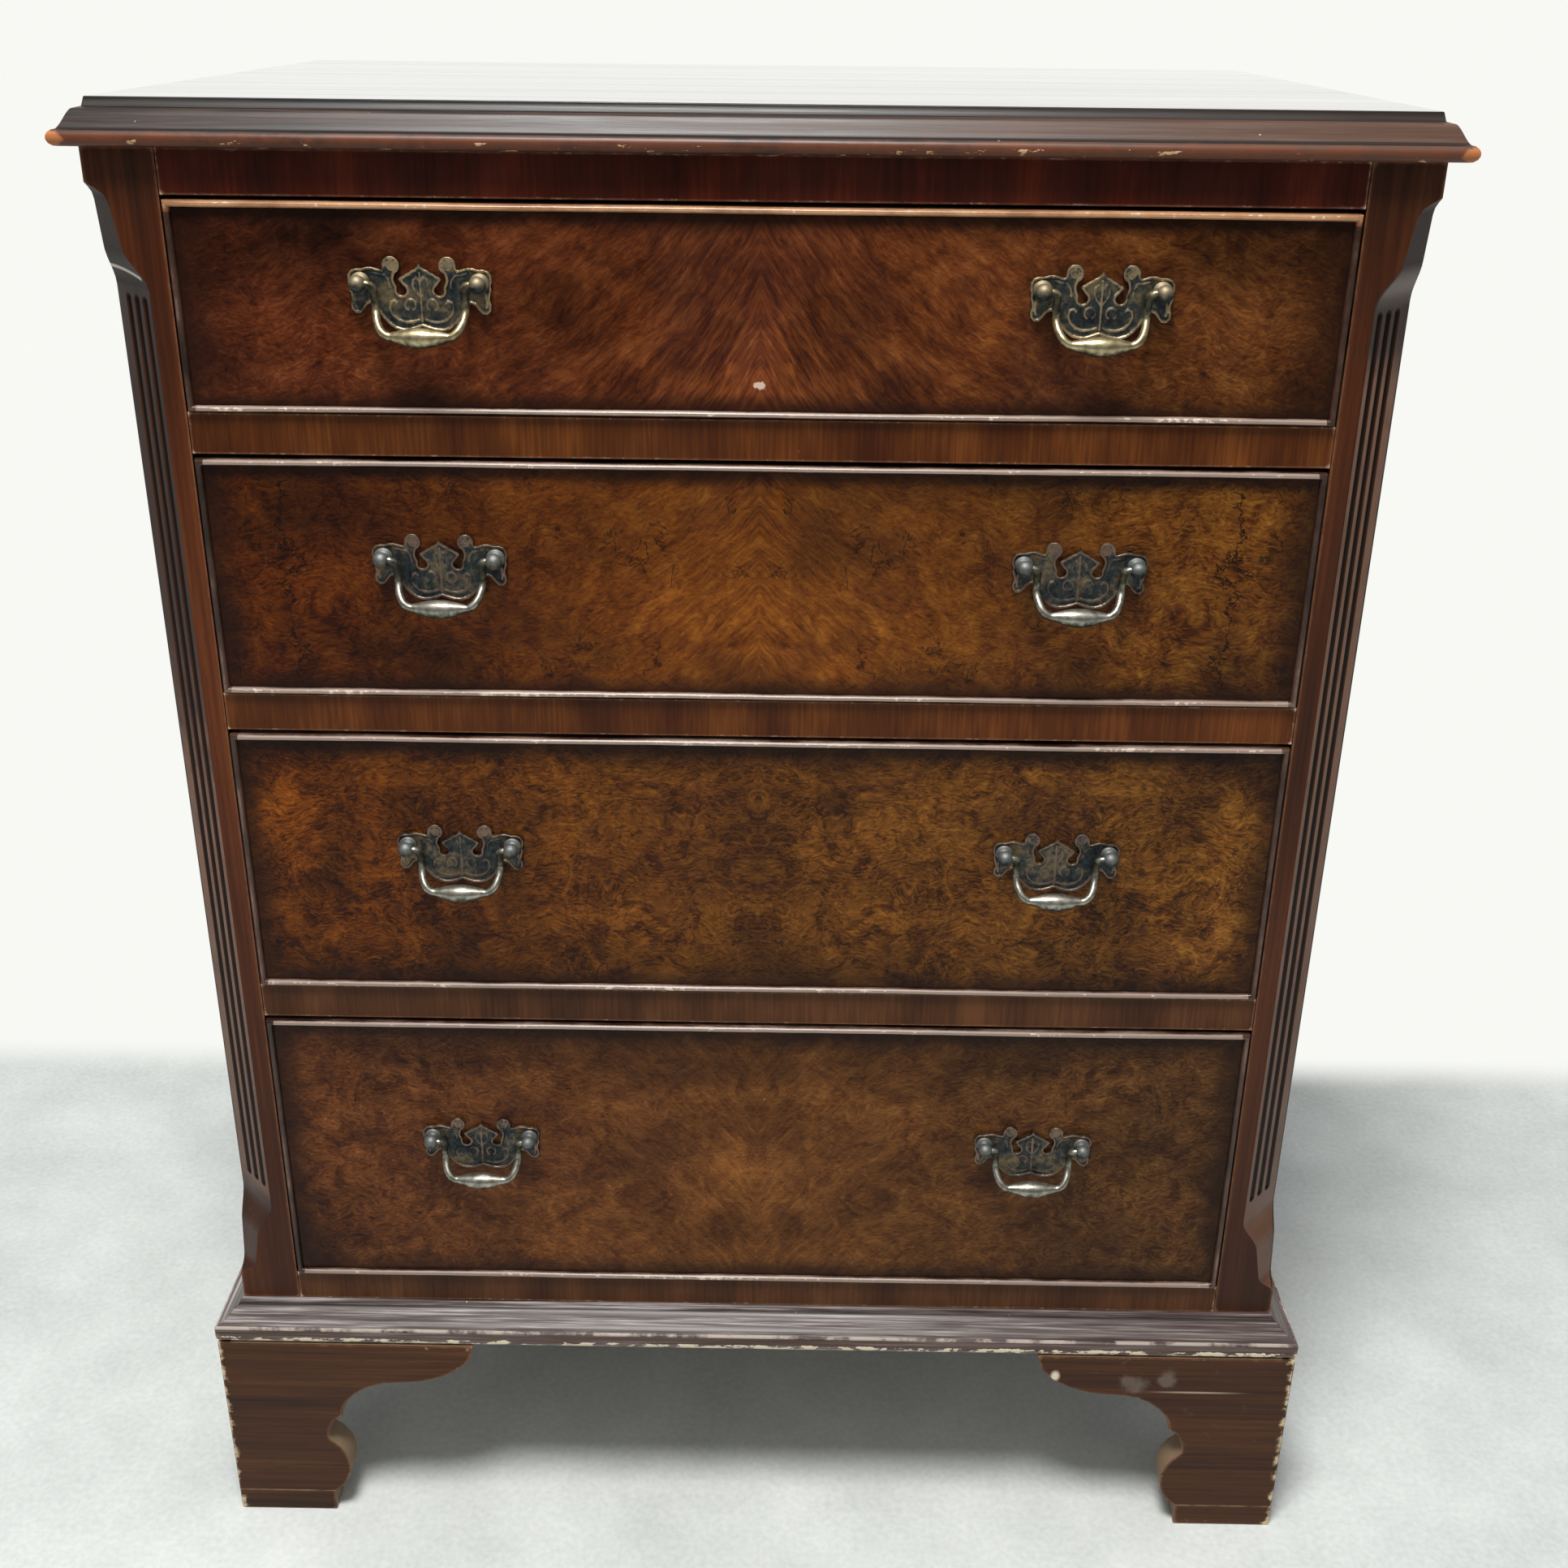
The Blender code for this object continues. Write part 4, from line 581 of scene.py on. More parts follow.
# %% Settings of the fronts, from the top drawer down
FRONTS = {
    "top": dict(
        leaf=dict(rise=95.0, spread=70.0, slope=0.32, burr=(0.05, 0.50), seed=1.0),
        tones=("#240d06", "#4a210e", "#6b3516", "#8f4f24", "#c07b3e"),
        tint=("#b2aabf", "#cfcbcf", "#bccdc8"),
        shade=(0.022, 0.009),
        cracks=(400.0, 0.8, 0.0),
        areas=(
            (-240, 27, 75, 30, 0.50), (-185, 38, 60, 18, 0.35), (-90, -8, 42, 30, 0.28),
            (-45, 14, 20, 16, 0.35), (0, -24, 16, 30, -0.45), (-220, -10, 60, 24, -0.20),
            (102, -8, 36, 45, -0.30), (38, -18, 24, 24, 0.25), (246, 30, 70, 22, 0.50),
            (262, -40, 40, 20, 0.40), (214, 4, 40, 22, -0.18),
        ),
    ),
    "second": dict(
        leaf=dict(rise=60.0, spread=80.0, slope=0.28, burr=(0.20, 0.85), seed=2.0),
        tones=("#2a1206", "#54290d", "#774118", "#945b25", "#b37b3c"),
        tint=("#a28658", "#d4d0a8", "#bdc2a4"),
        shade=(0.020, 0.010),
        cracks=(240.0, 1.5, 0.8),
        areas=(
            (-222, 39, 80, 22, 0.42), (-225, -5, 28, 28, -0.30), (-208, -42, 60, 20, 0.45),
            (-97, -36, 60, 22, 0.28), (-29, -19, 60, 30, -0.32), (56, -32, 50, 24, -0.30),
            (25, 16, 30, 20, 0.22), (158, 32, 70, 25, -0.12), (107, 49, 90, 12, 0.30),
            (242, -49, 42, 18, 0.45),
        ),
    ),
    "third": dict(
        leaf=dict(rise=8.0, spread=80.0, slope=0.05, burr=(0.90, 1.0), seed=3.0),
        tones=("#251306", "#482811", "#6b431c", "#875928", "#a67539"),
        tint=("#c29e66", "#d9caa0", "#d7cfac"),
        shade=(0.020, 0.013),
        cracks=(172.0, 0.5, 0.7),
        areas=(
            (-262, 20, 28, 36, -0.50), (-229, -3, 18, 30, 0.25), (-210, 3, 16, 30, -0.20),
            (-199, 36, 10, 25, 0.30), (0, -60, 280, 14, 0.35), (242, -44, 30, 22, -0.30),
            (202, -37, 20, 35, 0.25), (262, 13, 20, 40, -0.35), (0, 66, 280, 12, 0.25),
        ),
    ),
    "bottom": dict(
        leaf=dict(rise=-95.0, spread=80.0, slope=-0.28, burr=(0.40, 0.85), seed=4.0),
        tones=("#2b150a", "#4f2c16", "#6d4425", "#8a5c35", "#ac7c4e"),
        tint=("#cbb59e", "#e2d8b0", "#b5b49c"),
        shade=(0.022, 0.015),
        cracks=(400.0, 0.5, 0.3),
        areas=(
            (0, 72, 290, 24, 0.40), (0, -22, 62, 30, -0.28), (-18, -50, 16, 12, 0.35),
            (18, -50, 16, 12, 0.35), (-222, 15, 26, 50, 0.22), (-256, -6, 25, 40, -0.25),
            (-256, -62, 42, 30, 0.45), (232, -40, 46, 30, -0.18),
        ),
    ),
}
walnut = {word: walnut_front(word, **FRONTS[word]) for word in DRAWERS}
top_front = walnut["top"].node_tree
add = partial(add_node, top_front)
place = add("TexCoord", out="Object")
chip = patch(add, place, (-0.0003, 0.7276), (0.0048, 0.0030), 1.0)
chip = broken_up(add, chip, place, 0.0030, 1.8, 0.45, 0.75)
over_all(add, top_front.nodes["Principled BSDF"], chip, "#d9bfb0", 0.75)
print("veneered fronts:", ", ".join(walnut))


# %% [markdown]
# ## Crossbanded walnut on the rails
#
# The rails and the frieze carry narrow strips of veneer with the grain running up and down, laid side
# by side, so the colour steps a little every few centimetres. Their lower edges are knocked whenever
# a drawer is pushed in crooked, which leaves a broken pale line.

# %% Crossbanded walnut
STRIP = 47 * MM


def crossbanding(name, dark, middle, light):
    """Strips of straight-grained walnut, laid across the rail."""
    material, add, shader, place = new_finish(name, ior=1.45, shine=0.18)
    axes = add("SeparateXYZ", place, out=None).outputs
    strip = add("Math.MULTIPLY", axes["X"], 1 / STRIP)
    strip = add("Math.FLOOR", strip)
    lot = add("TexWhiteNoise", W=strip, out="Value", noise_dimensions="1D")
    grain = stretched_noise(add, place, (1 / 0.0016, 300.0, 1 / 0.035), Detail=4.0, Distortion=0.4)
    broad = stretched_noise(add, place, (1 / 0.035, 10.0, 1 / 0.09), Detail=3.0)
    figure = add("Mix", 0.68, A=grain, B=broad)
    figure = add("Math.MULTIPLY_ADD", lot, 0.05, figure)
    colour = add("ValToRGB", figure, stops=[(0.38, dark), (0.53, middle), (0.68, light)])
    # Inner corners are darkened as painted shade, with dust in them.
    colour = stain(add, colour, shade_and_dirt_in_corners(add, 0.003), "#120906")
    near = outer_edges(add, 0.0030)
    colour = stain(add, colour, broken_up(add, near, place, 0.008, 0.6, 0.30, 0.48), "#8a6149", 0.8)
    chip = broken_up(add, near, place, 0.005, 0.9, 0.56, 0.60)
    bare = add("Math.MAXIMUM", chip, knocks(add, place, 0.018, 0.0010, 0.20))
    colour = stain(add, colour, bare, "#cbb49c")
    smear = add("TexNoise", place, Scale=25.0, Detail=4.0)
    gloss = add("MapRange", smear, 0.3, 0.7, 0.26, 0.40)
    bring_together(add, shader, colour, gloss, grain, 0.00010, 0.35)
    return material


# The frieze's strips are darker, partly as painted shade under the top's overhang.
frieze_banding = crossbanding("crossbanded_walnut_frieze", "#2c0d05", "#401408", "#571f0c")
rail_banding = crossbanding("crossbanded_walnut_rail", "#3a1806", "#4f270b", "#6e3c15")
low_banding = crossbanding("crossbanded_walnut_low", "#351b0c", "#4a2a14", "#5f3a20")
print("crossbanding: 3")


# %% [markdown]
# ## Mouldings, where polish wears off
#
# The top's edge and the base moulding were stained nearly black. Their rounded parts have been
# dusted, kicked and knocked for years, so long scuffs run along them, the nose has gone from black to
# reddish brown, and its most exposed spots are bare. The scuffs follow the moulding round the corner.

# %% Worn mouldings
def worn_moulding(name, tones, nose, bare_wood, lip, rub, chips, gloss, bands, right):
    """Dark stained wood, rubbed to a lighter brown along its nose, with bare chips.

    Bands are a height, half a height, a colour, its strength and how torn it is, right is a colour
    with its strength, and lip is how high the lower edge's wear reaches.
    """
    material, add, shader, place = new_finish(name, ior=1.5, shine=0.3)
    run = along_the_run(add, place)
    fine, broad = [
        grained(add, run, "X", length, width, Detail=5.0, Roughness=0.6)
        for length, width in ((0.050, 0.0011), (0.16, 0.0040))
    ]
    scuffs = add("Mix", 0.45, A=fine, B=broad)
    colour = add("ValToRGB", scuffs, stops=list(zip((0.36, 0.50, 0.66), tones)))
    # Inner corners and hollows are darkened as painted shade, with old wax in them.
    colour = stain(add, colour, shade_and_dirt_in_corners(add, 0.004, 0.90, 0.50), "#060302", 0.9)
    # The right-hand half has lost its black stain, so it is browner.
    spot = add("SeparateXYZ", place, out=None).outputs
    height = spot["Z"]
    side = add("MapRange", spot["X"], 0.0, 0.25)
    colour = stain(add, colour, side, *right)
    for middle, half, tone, strength, torn in bands:
        band = add("Math.COMPARE", height, middle, half)
        if torn:
            band = broken_up(add, band, run, 0.018, torn, 0.80, 1.10)
        colour = stain(add, colour, band, tone, strength)
    low = add("MapRange", height, lip + 0.003, lip - 0.001)
    near = add("Math.MULTIPLY", outer_edges(add, 0.0050), low)
    colour = stain(add, colour, broken_up(add, near, run, 0.012, 0.45, *rub), nose, 0.9)
    squeezed = add("VectorMath.MULTIPLY", run, (0.45, 1.0, 1.0))
    lowest = add("MapRange", height, lip, lip - 0.002, 0.0, 0.5)
    chip = broken_up(add, lowest, squeezed, 0.005, 1.4, *chips)
    bare = add("Math.MAXIMUM", chip, knocks(add, place, 0.012, 0.0011, 0.25))
    colour = stain(add, colour, bare, bare_wood)
    gloss = add("MapRange", scuffs, 0.35, 0.65, gloss, gloss + 0.16)
    rough = add("Mix", bare, A=gloss, B=0.75)
    relief = add("Math.MULTIPLY_ADD", bare, -1.2, scuffs)
    bring_together(add, shader, colour, rough, relief, 0.00018)
    return material, add, shader, run


# %% The top's edge and the base
top_stain, add, shader, run = worn_moulding(
    "ebonised_mahogany_edge", ("#0f0806", "#281a15", "#4f3a30"), nose="#6a3820",
    bare_wood="#c79f78", lip=0.8405, rub=(0.05, 0.30), chips=(0.64, 0.68), gloss=0.32,
    right=("#6b4a38", 0.40),
    bands=(
        (0.8386, 0.0032, "#5c3423", 0.6, 1.6), (0.8540, 0.0026, "#040202", 0.85, 0.0),
        # The thin dark line at 0.8426 is painted shade in the quirk above the bead.
        (0.8426, 0.0007, "#050303", 0.85, 0.0),
    ),
)
# The top's corners stick out most, so their lower lips are worn to tan wood.
tips = [patch(add, run, (x, 0.8380), (0.012, 0.006), 1.0) for x in (-0.3284, 0.3284)]
tip = add("Math.ADD", *tips)
over_all(add, shader, broken_up(add, tip, run, 0.004, 0.8, 0.30, 0.60), "#a8683c", 0.85)

# The base's pale grey scuffs also stand for a painted sheen on its ogee.
base_stain = worn_moulding(
    "stained_base_moulding", ("#241a18", "#5e5350", "#b2aba9"), nose="#8c7161", bare_wood="#ddd0b6",
    lip=0.1440, rub=(0.16, 0.38), chips=(0.48, 0.52), gloss=0.30, right=("#38221a", 0.42),
    bands=(
        (0.1440, 0.0040, "#4c2f24", 0.55, 0.0), (0.1572, 0.0006, "#120b08", 0.6, 0.0),
        (0.1482, 0.0008, "#c9bcb0", 0.6, 2.0),
    ),
)[0]
print("mouldings: 2")


# %% [markdown]
# ## The polished top
#
# The top is one flat mahogany board under a hard, clear french polish, so seen from a low angle it
# mirrors what is behind it. The polish is a coat over the wood. Years of dusting along the board left
# duller streaks in it, and these are a roughness that a stretched noise drives.

# %% French polish on the top
polished_top, add, shader, place = new_finish("french_polished_mahogany_top", ior=1.5)
shader.inputs["Coat Weight"].default_value = 1.0
shader.inputs["Coat Roughness"].default_value = 0.05
streak = stretched_noise(add, place, (1.6, 60.0, 1.0), Detail=6.0, Roughness=0.65)
stops = [(0.38, "#1d0e08"), (0.50, "#3a2216"), (0.64, "#5c3b28")]
wood = add("ValToRGB", streak, stops=stops)
dull = add("MapRange", streak, 0.40, 0.70, 0.06, 0.40)
bring_together(add, shader, wood, dull, streak, 0.00005, 0.2)
print("a coat of polish on the top")


# %% [markdown]
# ## Cock beads
#
# A cock bead is a thin mitred frame round the drawer front with a rounded nose. It starts here as a
# box: both faces are inset and bridged, which leaves a frame, and the nose is bevelled round. The long
# runs are then cut into short lengths and nudged by a slow noise, because old beads are never
# straight. How far a point stands out is kept as an attribute, from which the finish knows the crest.

# %% The beads' finish
def worn_bead(name):
    """Brown stained beads, rubbed pale along the crest, lighter on upward faces and darker on the
    upright runs as painted light, and bare along the very top one.
    """
    material, add, shader, place = new_finish(name, ior=1.5, shine=0.45)
    crest = add("Attribute", out="Fac", attribute_name="crest")
    patches = stretched_noise(add, place, (22.0, 60.0, 22.0), Detail=6.0, Roughness=0.7)
    colour = add("ValToRGB", patches, stops=[(0.36, "#20120d"), (0.64, "#54392d")])
    torn = add("Math.MULTIPLY_ADD", patches, 1.5, -0.95)
    torn = add("Math.ADD", crest, torn)
    # Upward faces are painted paler as a painted highlight, and the upright runs darker as painted
    # shade.
    torn = add("Math.MULTIPLY_ADD", facing(add, "Z"), 0.42, torn)
    aside = add("SeparateXYZ", place, out="X")
    aside = add("Math.ABSOLUTE", aside)
    aside = add("Math.GREATER_THAN", aside, drawer_box["top"][1].x - BEAD)
    torn = add("Math.MULTIPLY_ADD", aside, -0.62, torn)
    # So the pale colour is wear on the crest and painted light on the faces.
    rubbed = add("MapRange", torn, 0.12, 0.72, **SMOOTH)
    colour = stain(add, colour, rubbed, "#8d7a6f")
    # The run above the top drawer is rubbed to dark orange wood, and its upper half is painted peach,
    # partly as painted light from above.
    above = add("SeparateXYZ", place, out="Z")
    rim = drawer_box["top"][1].z
    topmost = add("Math.GREATER_THAN", above, rim - 0.0052)
    upper = add("MapRange", above, rim - 0.0042, rim - 0.0028)
    peach = add("ValToRGB", upper, stops=[(0.0, "#6b3a1f"), (1.0, "#b0835f")])
    darker = add("MapRange", patches, 0.55, 0.40)
    colour = stain(add, colour, topmost, stain(add, peach, darker, "#7d5234", 0.7))
    grit = add("TexNoise", place, Scale=420.0, Detail=2.0)
    speck = add("Math.MULTIPLY_ADD", grit, 0.9, torn)
    bare = add("MapRange", speck, 1.44, 1.52)
    colour = stain(add, colour, bare, "#c6b5a7")
    rough = add("Mix", bare, A=0.30, B=0.6)
    bring_together(add, shader, colour, rough, patches, 0.0004)
    return material


bead_finish = worn_bead("worn_stained_bead")


# %% Objects from meshes in the making
def in_scene(name, data):
    """A new object, linked to the scene."""
    obj = bpy.data.objects.new(name, data)
    bpy.context.scene.collection.objects.link(obj)
    return obj


def to_object(shape, name, material, sharp=32.0):
    """Makes a bmesh an object with smooth shading up to an angle."""
    mesh = bpy.data.meshes.new(name)
    shape.to_mesh(mesh)
    shape.free()
    mesh.shade_smooth()
    mesh.set_sharp_from_angle(angle=math.radians(sharp))
    mesh.materials.append(material)
    return in_scene(name, mesh)


def stands_for(piece, node):
    """The new piece rides with a model piece and stands in its place, which is hidden."""
    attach(piece, nodes[node]["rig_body"])
    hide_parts(node)


# %% Shape of the beads
def cock_bead(word):
    """The bead of one drawer, a little uneven along its length."""
    low, high = drawer_box[word]
    shape = bmesh.new()
    bmesh.ops.create_cube(shape, size=1.0)
    bmesh.ops.scale(shape, vec=high - low, verts=shape.verts)
    bmesh.ops.translate(shape, vec=(high + low) / 2, verts=shape.verts)
    caps = [face for face in shape.faces if abs(face.normal.y) > 0.5]
    bmesh.ops.inset_individual(shape, faces=caps, thickness=BEAD)
    rims = [edge for cap in caps for edge in cap.edges]
    bmesh.ops.delete(shape, geom=caps, context="FACES_ONLY")
    bmesh.ops.bridge_loops(shape, edges=rims)
    nose = [
        edge for edge in shape.edges
        if all(vert.co.y < low.y + 1e-6 for vert in edge.verts) and edge.calc_face_angle(0.0) > 1.0
    ]
    bmesh.ops.bevel(
        shape, geom=nose, offset=BEAD * 0.48, segments=5, profile=0.5, affect="EDGES", material=-1
    )
    runs = [edge for edge in shape.edges if edge.calc_length() > 0.05]
    bmesh.ops.subdivide_edges(shape, edges=runs, cuts=60, use_grid_fill=True)
    crest = shape.verts.layers.float.new("crest")
    for vert in shape.verts:
        place = vert.co
        vert[crest] = min(max((low.y + 2.0 * MM - place.y) / (1.9 * MM), 0.0), 1.0)
        slow = noise.noise(place * 9.0 + Vector((0, 0, 3.1)))
        quick = noise.noise(place * 70.0)
        front = 1.0 if place.y < low.y + 3 * MM else 0.0
        vert.co.z += (0.35 * slow + 0.12 * quick) * MM * front
        vert.co.y += 0.20 * abs(quick) * MM * front
    bmesh.ops.recalc_face_normals(shape, faces=shape.faces)
    piece = to_object(shape, f"{word}_cock_bead_worn", bead_finish, 60.0)
    stands_for(piece, f"{word}_drawer_cock_bead")


for word in DRAWERS:
    cock_bead(word)
print("cock beads:", len(DRAWERS))


# %% [markdown]
# ## Softened copies of the case's pieces
#
# A board never has a perfectly sharp edge, least of all an old one. The model's own meshes are left
# alone, so each visible piece is copied. The copy's doubled points are merged, its flat triangles are
# joined back into faces, and its outer edges get a narrow bevel that catches the light.

# %% Copy, merge and bevel
def softened(node, radius, material):
    """A copy of a model piece with its outer edges rounded."""
    shape = bmesh.new()
    shape.from_mesh(nodes[node].data)
    bmesh.ops.remove_doubles(shape, verts=shape.verts, dist=1e-6)
    bmesh.ops.dissolve_limit(
        shape, angle_limit=math.radians(0.6), verts=shape.verts, edges=shape.edges
    )
    outer = [
        edge for edge in shape.edges if len(edge.link_faces) == 2
        and edge.is_convex and edge.calc_face_angle(0.0) > math.radians(34)
    ]
    bmesh.ops.bevel(
        shape, geom=outer, offset=radius, offset_type="OFFSET", segments=2, profile=0.5,
        affect="EDGES", clamp_overlap=True, material=-1,
    )
    piece = to_object(shape, f"{node}_softened", material)
    shading = piece.modifiers.new("flat faces stay flat", "WEIGHTED_NORMAL")
    shading.keep_sharp = True
    stands_for(piece, node)
    return piece


# %% The case
top = softened("top_board", 0.5 * MM, top_stain)
top.data.materials.append(polished_top)
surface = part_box("top_board")[1].z - 0.1 * MM
for face in top.data.polygons:
    face.material_index = 1 if face.center.z > surface and face.normal.z > 0.99 else 0

SIDES = ("left", "right")
MAHOGANY = {
    "base_frame": (0.8, base_stain),
    "left_corner_post": (0.45, left_post_mahogany),
    "right_corner_post": (0.45, right_post_mahogany),
    "front_left_foot": (0.8, foot_mahogany),
    "front_right_foot": (0.8, right_foot_mahogany),
}
MAHOGANY |= {f"rear_{side}_foot": (0.8, rear_mahogany) for side in SIDES}
MAHOGANY |= {f"{side}_side_panel": (0.5, side_mahogany) for side in SIDES}
WALNUT = {"frieze_rail": frieze_banding}
WALNUT |= {f"{level}_divider_rail": rail_banding for level in ("upper", "middle")}
WALNUT |= {node: low_banding for node in ("lower_divider_rail", "bottom_board")}
for node, (radius, material) in MAHOGANY.items():
    softened(node, radius * MM, material)
for node, material in WALNUT.items():
    softened(node, 0.5 * MM, material)
print("softened pieces:", 1 + len(MAHOGANY) + len(WALNUT))


# %% [markdown]
# ## Cast brass
#
# The handles are cast brass that was darkened. What sticks out has been rubbed back to metal, and the
# hollows keep a green-black patina. How far a point stands out from the drawer tells which is which.
# The upper sides of the turned posts and the bails are painted brighter than their undersides, as
# painted light from above. The top drawer is the one that is used most, so its brass is yellower and
# cleaner than the others'.

# %% Darkened brass
PLATE_FACE = FRONT - 2.05 * MM
PLATE_RIM = FRONT - 2.50 * MM
POSTS = FRONT - 2.90 * MM  # further out than this is a post


def darkened_brass(name, rim, ball):
    """Patinated brass, rubbed bright on the raised rim, with its posts painted bright on top and dark
    below as painted light.
    """
    material, add, shader, place = new_finish(name, ior=1.5, metallic=0.8)
    depth = add("SeparateXYZ", place, out="Y")
    blotch = add("TexNoise", place, Scale=330.0, Detail=5.0, Roughness=0.65)
    broad = add("TexNoise", place, Scale=110.0, Detail=3.0)
    worn = add("Math.MULTIPLY_ADD", add("Mix", 0.5, A=blotch, B=broad), 3.4, -1.8)
    worn = add("Math.ADD", worn, add("MapRange", depth, PLATE_FACE, PLATE_RIM))
    worn = add("MapRange", worn, 0.25, 1.05, **SMOOTH)
    stops = [(0.38, "#1d2429"), (0.50, "#3d4242"), (0.62, "#7a6a50")]
    field = add("TexNoise", place, Scale=60.0, Detail=2.0)
    field = add("Mix", 0.5, A=blotch, B=field)
    patina = add("ValToRGB", field, stops=stops)
    colour = stain(add, patina, worn, rim)
    # A post is painted brighter above and darker below: painted light from above.
    lit = add("Math.MULTIPLY_ADD", blotch, 1.4, facing(add, "Z"))
    turned = stain(add, patina, add("MapRange", lit, 0.25, 1.25, **SMOOTH), ball)
    is_post = add("Math.LESS_THAN", depth, POSTS)
    colour = stain(add, colour, is_post, turned)
    rough = add("Mix", worn, A=0.48, B=0.38)
    rough = add("Mix", is_post, A=rough, B=0.56)
    bring_together(add, shader, colour, rough, blotch, 0.0005)
    return material


def rubbed_brass(name, pull, grip):
    """The bail: rubbed bright where fingers pull, greenish at its ends, and painted bright on top and
    dark underneath as painted light.
    """
    material, add, shader, place = new_finish(name, ior=1.5, metallic=0.85)
    blotch = add("TexNoise", place, Scale=300.0, Detail=4.0)
    pulled = add("Attribute", out="Fac", attribute_name="pulled")
    # Upward faces are painted brighter and downward ones darker: painted light from above.
    upwards = add("SeparateXYZ", add("TexCoord", out="Normal"), out="Z")
    turned = add("Math.MULTIPLY_ADD", blotch, 0.9, upwards)
    turned = add("Math.MULTIPLY_ADD", pulled, pull, turned)
    rubbed = add("MapRange", turned, 0.25, 1.0, **SMOOTH)
    patina = add("ValToRGB", blotch, stops=[(0.35, "#2b2d27"), (0.65, "#55533f")])
    bright = add("ValToRGB", blotch, stops=[(0.35, grip[0]), (0.65, grip[1])])
    colour = stain(add, patina, rubbed, bright)
    rough = add("Mix", rubbed, A=0.46, B=0.32)
    bring_together(add, shader, colour, rough, blotch, 0.0002, 0.3)
    return material


clean_plate = darkened_brass("darkened_brass_warm", rim="#a48f6f", ball="#8d8068")
dull_plate = darkened_brass("darkened_brass_grey", rim="#7a6455", ball="#737674")
clean_bail = rubbed_brass("rubbed_brass_warm", 0.7, ("#8f7f5e", "#beb28d"))
dull_bail = rubbed_brass("rubbed_brass_grey", 0.5, ("#7c796f", "#aeaa9e"))
print("brass finishes: 4")


# %% [markdown]
# ## The cast handle plate
#
# The plate is cast: a flat shape with a raised rim and low ornament. Its outline is drawn for one half
# and mirrored. The face is inset and the band along its edge is raised, tubes along curves make the
# scrolls, and a voxel Remesh melts them into one skin with the soft corners of a casting.

# %% Outline of the plate, in millimetres from the middle of the bail's axis
EAR = (13.5, 7.9)


def arc(centre, radius, start, end, steps):
    """Points along a circle's arc, with angles in degrees."""
    angles = [math.radians(start + (end - start) * step / steps) for step in range(steps + 1)]
    return [(centre[0] + radius * math.cos(a), centre[1] + radius * math.sin(a)) for a in angles]


def plate_half():
    """The right half of the plate, from the peak clockwise to the foot of the shield."""
    dome = [
        (0.0, 9.3), (0.9, 7.4), (2.4, 6.2), (3.9, 5.6), (5.0, 4.7), (6.6, 4.0), (8.2, 2.9),
        (9.9, 2.1), (10.3, 1.2), (9.4, 0.4), (8.4, -0.9),
    ]
    piercing = arc((9.0, -3.7), 2.4, 118, 388, 14) + [(11.8, -1.0), (12.5, 1.0), (12.2, 2.8)]
    ear = arc(EAR, 4.2, 246, -14, 14)
    wing = [
        (18.2, 5.7), (20.5, 6.4), (23.0, 7.1), (25.5, 7.0), (28.0, 6.2), (30.5, 6.3), (32.8, 5.5),
        (34.2, 3.6), (34.5, 0.8), (33.7, -1.2), (34.2, -3.2), (33.4, -5.4), (33.0, -7.8), (33.8, -10.2),
        (33.4, -12.8), (31.6, -14.6), (29.2, -14.4), (27.6, -12.6), (25.9, -10.4), (23.8, -9.6),
        (22.2, -10.6),
    ]
    shield = [
        (20.9, -13.2), (18.8, -16.6), (16.2, -19.6), (13.0, -21.9), (9.6, -22.8), (6.2, -22.7),
        (3.0, -21.8), (0.0, -20.6),
    ]
    return dome + piercing + ear + wing + shield


# %% Ornament on the plate
def ornament():
    """Runs of (x, z) on the right half, each with its radius, all in millimetres."""
    scroll = arc((5.2, -10.6), 2.6, -70, 250, 14)
    sweep = [
        (1.4, -17.4), (4.0, -18.4), (8.0, -18.7), (11.5, -17.6), (14.2, -15.0), (15.4, -12.0),
        (14.8, -9.4), (12.8, -8.6), (11.4, -10.0),
    ]
    stem = [(0.0, -18.6), (0.0, -14.0), (0.0, -8.0), (0.0, -2.0), (0.0, 4.6)]
    leaf = [(0.4, -6.5), (2.3, -4.4), (3.6, -1.6), (3.4, 1.0), (1.8, 2.4), (0.5, 0.8)]
    bird = [(14.6, -2.6), (15.0, 0.8), (16.6, 3.0), (19.6, 3.6), (22.6, 4.2)]
    drop = [(31.0, -4.6), (31.4, -8.0), (31.1, -11.4)]
    ear = arc(EAR, 2.0, 0, 360, 10) + arc(EAR, 0.7, 0, 360, 6)
    runs = (stem, scroll, sweep, leaf, bird, drop, ear)
    return list(zip(runs, (0.75, 0.68, 0.72, 0.62, 0.62, 0.75, 0.72)))


# %% Cast the plate
BACK, THICK = 0.3 * MM, 1.7 * MM  # the plate's back stands clear of the drawer
RIM_WIDE, RIM_HIGH = 1.1 * MM, 0.68 * MM
ORNAMENT = 1.9 * MM  # how far from the drawer the ornament's tubes are centred
VOXEL = 0.38 * MM


def poured_into(shape, obj):
    """Adds what an object looks like with its modifiers to a bmesh, and clears the object away."""
    bpy.context.view_layer.update()
    shown = obj.evaluated_get(bpy.context.evaluated_depsgraph_get())
    mesh = bpy.data.meshes.new_from_object(shown)
    shape.from_mesh(mesh)
    bpy.data.objects.remove(obj)
    bpy.data.meshes.remove(mesh)


